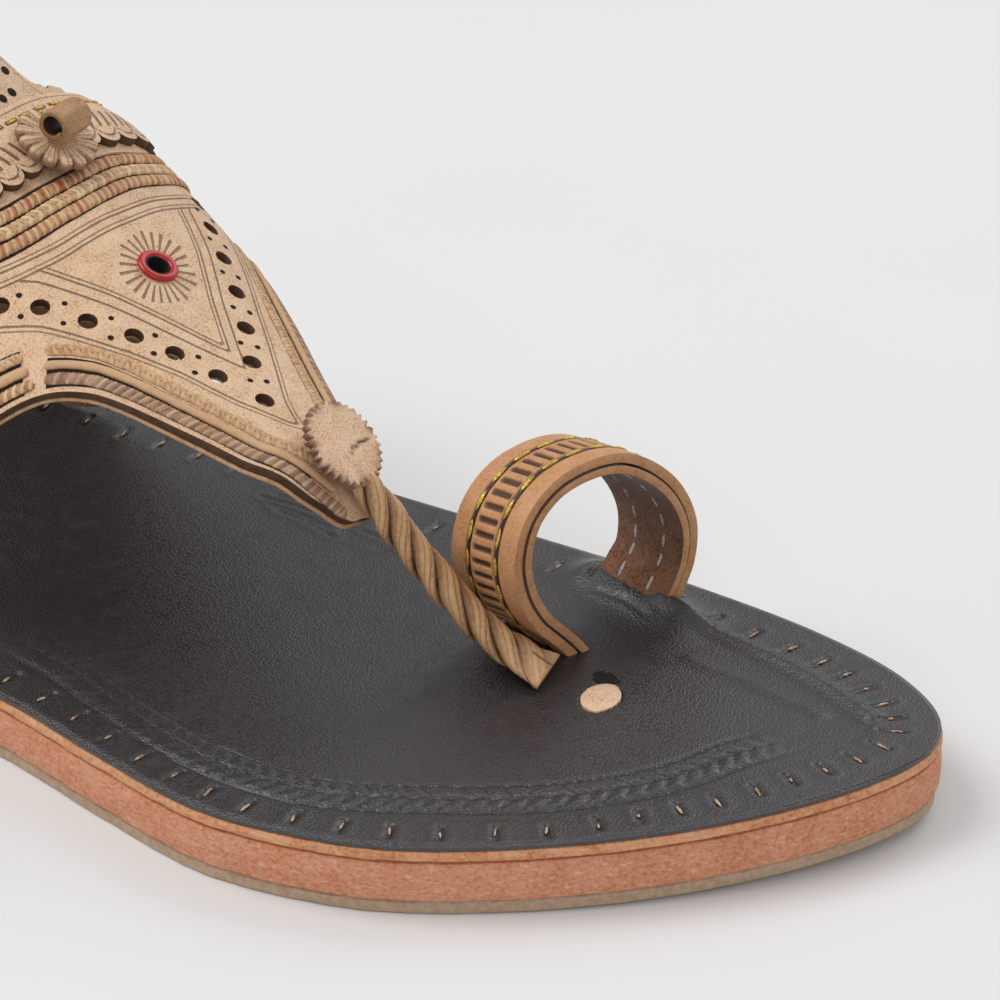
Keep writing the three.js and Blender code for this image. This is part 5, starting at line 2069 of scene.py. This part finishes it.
BAND = np.array((
    (-2.2, -21.5), (11.8, -25.2), (23.5, -30.3), (37.6, -35.3), (50.3, -38.3), (60, -38.6),
    (67.9, -37.2), (82.7, -30.4), (99.4, -19.7), (109.9, -8), (115.4, 3.1), (121.8, 12.5),
))
FOLD = np.array(((84, 36.9), (99.6, 33.7), (112.1, 29.9), (122.4, 25), (128.5, 21.4)))
SECOND_FOLD = ((95.1, 25.6), (108.9, 22.6), (121.1, 19))
RING_RIDGE = ((69, 41.8), (75.5, 40.0), (82, 38), (88, 35.6))
WRINKLES = (
    ((7.3, 38.8), (14.9, 38.6), (23.3, 37.7)), ((10, 37), (16, 36.6), (23.3, 34.5)),
    ((12, 35.8), (18, 35), (25, 32.6)), ((9, 40.5), (17, 40.6), (27, 39)),
    ((28, 37), (36, 35), (43, 31)), ((72, 36.5), (78, 35.4), (83, 33.2)),
)
LATERAL_MARGIN = ((-140, 30, 84, 104, 112, 134), (5, 4.8, 4.2, 3.6, 5.2, 7.4))
MEDIAL_MARGIN = ((-140, 40, 84, 110, 134), (7, 7.4, 9, 8.0, 7.6))


@dataclass
class Footbed(Maker):
    """Dark insole with its margin stitches, embossed band, folds and slot."""

    plan: SolePlan
    columns: int = 440
    rows: int = 170
    inset: float = 0.35
    finer_front: float = 1.8
    finer_edges: float = 0.25
    round_edge: float = 0.35
    stitch_length: float = 3.4
    stitch_start: float = 6.0
    stitch_pitch: float = 8.0
    toe_stitch_pitch: float = 6.6
    toe_from: float = 105.0
    band_half: float = 3.9
    leaf_pitch: float = 3.0
    away: float = 9.0

    def stitch_places(self) -> list[tuple[np.ndarray, np.ndarray]]:
        """Middle and inward direction of every margin stitch."""
        places = []
        margins = (LATERAL_MARGIN, MEDIAL_MARGIN)
        for edge, margin, turn in zip(self.plan.sides(0.0), margins, (1, -1)):
            length = running_length(edge)
            at = self.stitch_start
            while at < length[-1] - 2:
                x = np.interp(at, length, edge[:, 0])
                i = min(len(edge) - 2, max(1, int(np.searchsorted(length, at))))
                along = unit(edge[i + 1] - edge[i - 1])
                inward = np.array((-along[1], along[0])) * turn
                places.append((edge[i] + inward * float(np.interp(x, *margin)), inward))
                at += self.toe_stitch_pitch if x > self.toe_from else self.stitch_pitch
        return places

    def band(self, points: np.ndarray, line: np.ndarray) -> tuple[np.ndarray, np.ndarray]:
        """Height of the embossed band and distance to its lines, for points near it."""
        along, across = self.measured(points, line)
        out = np.abs(across)
        fade = smoothstep(along / 9) * smoothstep((along.max() - along) / 12)
        fade *= 0.45 + 0.55 * smoothstep((along - 25) / 30)
        leaf = np.abs((along + 0.62 * out) / self.leaf_pitch % 1 - 0.5) * self.leaf_pitch
        leaves = 0.4 * smoothstep((3.3 - out) / 0.4) * (1 - bell(leaf, 0.5))
        height = fade * (leaves - 0.32 * bell(out, 0.45) - 0.26 * bell(out - self.band_half, 0.4))
        # The band's lines are painted dark as the shade of its grooves.
        lines = np.minimum(np.where(out < 3.4, leaf / 0.8, self.away), out)
        return height, np.minimum(lines, np.abs(out - self.band_half)) + 3 * (1 - fade)

    def relief(self, x: np.ndarray, y: np.ndarray) -> tuple[np.ndarray, dict[str, np.ndarray]]:
        """Height of the surface over its plane, and the numbers stored at its points."""
        flat = np.column_stack((x.ravel(), y.ravel()))

        def off(line: np.ndarray) -> np.ndarray:
            """Distance from each place to a polyline."""
            return distance_to(flat, line).reshape(x.shape)

        height = 0.1 * ripple(31, x + 0.5 * y, (67, 41)) * ripple(32, y - 0.2 * x, (37, 29))
        stroke, slit = np.full(x.shape, self.away), np.full(x.shape, self.away)
        band = spread(rounded_curve(BAND, False, 12), 140)
        near = off(band) < 6
        rise, stroke[near] = self.band(flat[near.ravel()], band)
        height[near] += rise
        for line, rise, wide in ((FOLD, 1.0, 1.5), (SECOND_FOLD, 0.35, 1.3), (RING_RIDGE, 2.6, 4.6)):
            height += rise * bell(off(spread(rounded_curve(line, False, 10), 40)), wide)
        for line in WRINKLES:
            gap = off(spread(rounded_curve(line, False, 10), 20))
            height += 0.14 * bell(gap - 0.9, 0.8) - 0.2 * bell(gap, 0.4)
        # Painted shade: the hole and the pocket are sunk and painted near-black.
        hole = self.slot(x, y)
        height -= 0.8 * hole
        for middle, inward in self.stitch_places():
            dx, dy = x - middle[0], y - middle[1]
            close = np.hypot(dx, dy) < 4
            u = np.abs(dx[close] * inward[0] + dy[close] * inward[1])
            v = np.abs(-dx[close] * inward[1] + dy[close] * inward[0])
            gap = np.hypot(np.maximum(0, u - self.stitch_length / 2), v)
            slit[close] = np.minimum(slit[close], gap)
        crest = spread(rounded_curve(FOLD + (0.5, 0.7), False, 10), 60)
        stroke = np.minimum(stroke, off(crest) + 0.12)
        for hx, hy in crest[::3]:
            slit = np.minimum(slit, np.hypot((x - hx) * 0.6, y - hy) + 0.15)
        height -= 0.3 * smoothstep((0.8 - slit) / 0.6)
        height += 0.12 * bell(slit - 1.3, 0.7)
        return height, {"stroke": stroke, "slot": slit, "painted_shade_and_marks": hole}

    def measured(self, points: np.ndarray, line: np.ndarray) -> tuple[np.ndarray, np.ndarray]:
        """Length along a line and signed distance across it, for points near it."""
        best, along, across = (np.full(len(points), v) for v in (1e9, 0.0, 0.0))
        start = 0.0
        for a, b in zip(line[:-1], line[1:]):
            ab = b - a
            size = np.linalg.norm(ab)
            f = np.clip((points - a) @ ab / size ** 2, 0, 1)
            gap = np.linalg.norm(points - a - f[:, None] * ab, axis=1)
            sign = np.sign(ab[0] * (points - a)[:, 1] - ab[1] * (points - a)[:, 0])
            closer = gap < best
            best = np.where(closer, gap, best)
            along = np.where(closer, start + f * size, along)
            across = np.where(closer, sign * gap, across)
            start += size
        return along, across

    def slot(self, x: np.ndarray, y: np.ndarray) -> np.ndarray:
        """Mask of the hole and the pocket that the plait's lace lies in, which are sunk and painted
        dark as shade.
        """
        pocket = smoothstep((4.6 - np.hypot((x - TAB_AT[0]) * 1.5, y - TAB_AT[1])) / 0.5)
        along = (x - HOLE_AT[0]) * 0.45 - (y - HOLE_AT[1]) * 0.89
        across = (x - HOLE_AT[0]) * 0.89 + (y - HOLE_AT[1]) * 0.45
        hole = smoothstep((1.0 - np.hypot(along / 2.7, across / 1.5)) / 0.22)
        return np.maximum(pocket, hole)

    def build(self) -> None:
        """Makes the insole and the threads of its margin stitches."""
        lateral, medial = self.plan.spaced(self.inset, self.columns, self.finer_front)
        bunched = (1 - np.cos(np.linspace(0, math.pi, self.rows))) / 2
        even = np.linspace(0, 1, self.rows)
        share = bunched * self.finer_edges + even * (1 - self.finer_edges)
        top = lateral[:, None] + (medial - lateral)[:, None] * share[None, :, None]
        height, values = self.relief(top[..., 0], top[..., 1])
        edge = np.minimum(share, 1 - share)[None] * (medial[:, 1] - lateral[:, 1])[:, None]
        round_off = self.round_edge * (1 - smoothstep(edge / 1.2))
        z = lift(top[..., 0]) + INSOLE_TOP + height * smoothstep(edge / 2) - round_off
        low = [np.column_stack((side, lift(side[:, 0]) + TOP_SOLE_TOP + 0.1))[:, None]
               for side in (medial, lateral)]
        rings = np.concatenate((np.dstack((top, z)), *low), 1)
        wide = {key: np.hstack((v, v[:, -1:], v[:, :1])).ravel() for key, v in values.items()}
        piece = joined("footbed", [(rings.reshape(-1, 3), sweep(rings), wide)], 60)
        self.dress(piece, "footbed_leather", ("footbed",), ("insole",))
        frames, chance = [], np.random.default_rng(17)
        for middle, inward in self.stitch_places():
            at = middle - inward * self.stitch_length * chance.uniform(-0.1, 0.25)
            z = float(lift(at[0])) + INSOLE_TOP - 0.06
            along = (inward[0] + chance.uniform(-0.2, 0.2), inward[1] + chance.uniform(-0.2, 0.2), 0.05)
            size = (chance.uniform(0.9, 2.5), chance.uniform(0.3, 0.5), 0.5)
            frames.append(basis((*at, z), along, (0, 0, 1), size))
        piece = copies("margin_stitches", template(THREAD), frames)
        self.dress(piece, "footbed_leather", ("tan_thread",))


# Studio


LIGHTS = (
    ("key_light", (-0.9, -0.5, 1.5), 1.2, 17, (1, 0.99, 0.975)),
    ("fill_light", (1.1, -1.2, 1.0), 1.6, 6.6, (0.97, 0.98, 1)),
    ("back_light", (0.3, 1.4, 1.2), 1.4, 9.5, (1, 1, 1)),
)


@dataclass
class Studio:
    """Pale floor, soft lights and the camera."""

    target: tuple[float, float, float] = (41.7, 58.5, 11.6)
    azimuth: float = 30.0
    elevation: float = 27.5
    distance: float = 832.0
    lens: float = 180.0
    sensor: float = 36.0
    floor_size: float = 14.0
    sky: float = 0.39

    def build(self) -> None:
        """Makes the floor, the lights, the sky and the camera."""
        self.build_floor()
        self.build_lights()
        self.build_camera()

    def build_floor(self) -> None:
        """Wide floor of pale paper."""
        deselect()
        bpy.ops.mesh.primitive_plane_add(size=self.floor_size)
        floor = bpy.context.view_layer.objects.active
        floor.name = "floor"
        paper, n, shader = new_material("pale_floor")
        soft = n.ease(n.noise(n.place(6.0)), 0.3, 0.7)
        n.feed(shader.inputs["Base Color"], n.mix(soft, shade(234, 235, 236), shade(237, 238, 239)))
        shader.inputs["Roughness"].default_value = 0.9
        floor.data.materials.append(paper)
        floor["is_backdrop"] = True

    def build_lights(self) -> None:
        """Soft lights that face the shoe, and an even white sky."""
        for name, at, size, power, color in LIGHTS:
            deselect()
            bpy.ops.object.light_add(type="AREA", location=at)
            lamp = bpy.context.view_layer.objects.active
            lamp.name = name
            lamp.data.size = size
            lamp.data.energy = power
            lamp.data.color = color
            towards = Vector((0, 0, 0.02)) - Vector(at)
            lamp.rotation_euler = towards.to_track_quat("-Z", "Y").to_euler()
        world = bpy.data.worlds.new("studio")
        world.use_nodes = True
        back = next(v for v in world.node_tree.nodes if v.type == "BACKGROUND")
        back.inputs["Color"].default_value = (1, 1, 1, 1)
        back.inputs["Strength"].default_value = self.sky
        bpy.context.scene.world = world
        bpy.context.scene.view_settings.view_transform = "Standard"

    def build_camera(self) -> None:
        """Camera at the photo's place."""
        az, el = math.radians(self.azimuth), math.radians(self.elevation)
        away = Vector((math.sin(az) * math.cos(el), -math.cos(az) * math.cos(el), math.sin(el)))
        target = Vector(self.target) + Vector((0, CENTRE_Y, 0))
        deselect()
        bpy.ops.object.camera_add(location=(target + away * self.distance) * MM)
        camera = bpy.context.view_layer.objects.active
        camera.rotation_euler = (-away).to_track_quat("-Z", "Y").to_euler()
        camera.data.lens = self.lens
        camera.data.sensor_width = self.sensor
        camera.data.clip_start = 0.01
        bpy.context.scene.camera = camera


def main() -> None:
    """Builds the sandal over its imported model, part by part."""
    logging.basicConfig(level=logging.INFO, format="%(name)s: %(message)s")
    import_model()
    cad_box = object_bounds()
    shared = SharedEffects()
    finishes = {name: finish.build(shared) for name, finish in FINISHES.items()}
    plan = SolePlan()
    last = Last(plan)
    Sole(finishes, plan).build()
    Footbed(finishes, plan).build()
    Upper(finishes, last).build()
    Trim(finishes, last).build()
    InstepStrap(finishes, last).build()
    Rosettes(finishes, last).build()
    Plait(finishes).build()
    ToeRing(finishes).build()
    Studio().build()
    sizes = {"cad": [list(map(float, v)) for v in cad_box],
             "visual": [list(map(float, v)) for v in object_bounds()]}
    for key, value in sizes.items():
        log.info("%s box: %s", key, value)


if __name__ == "__main__":
    main()
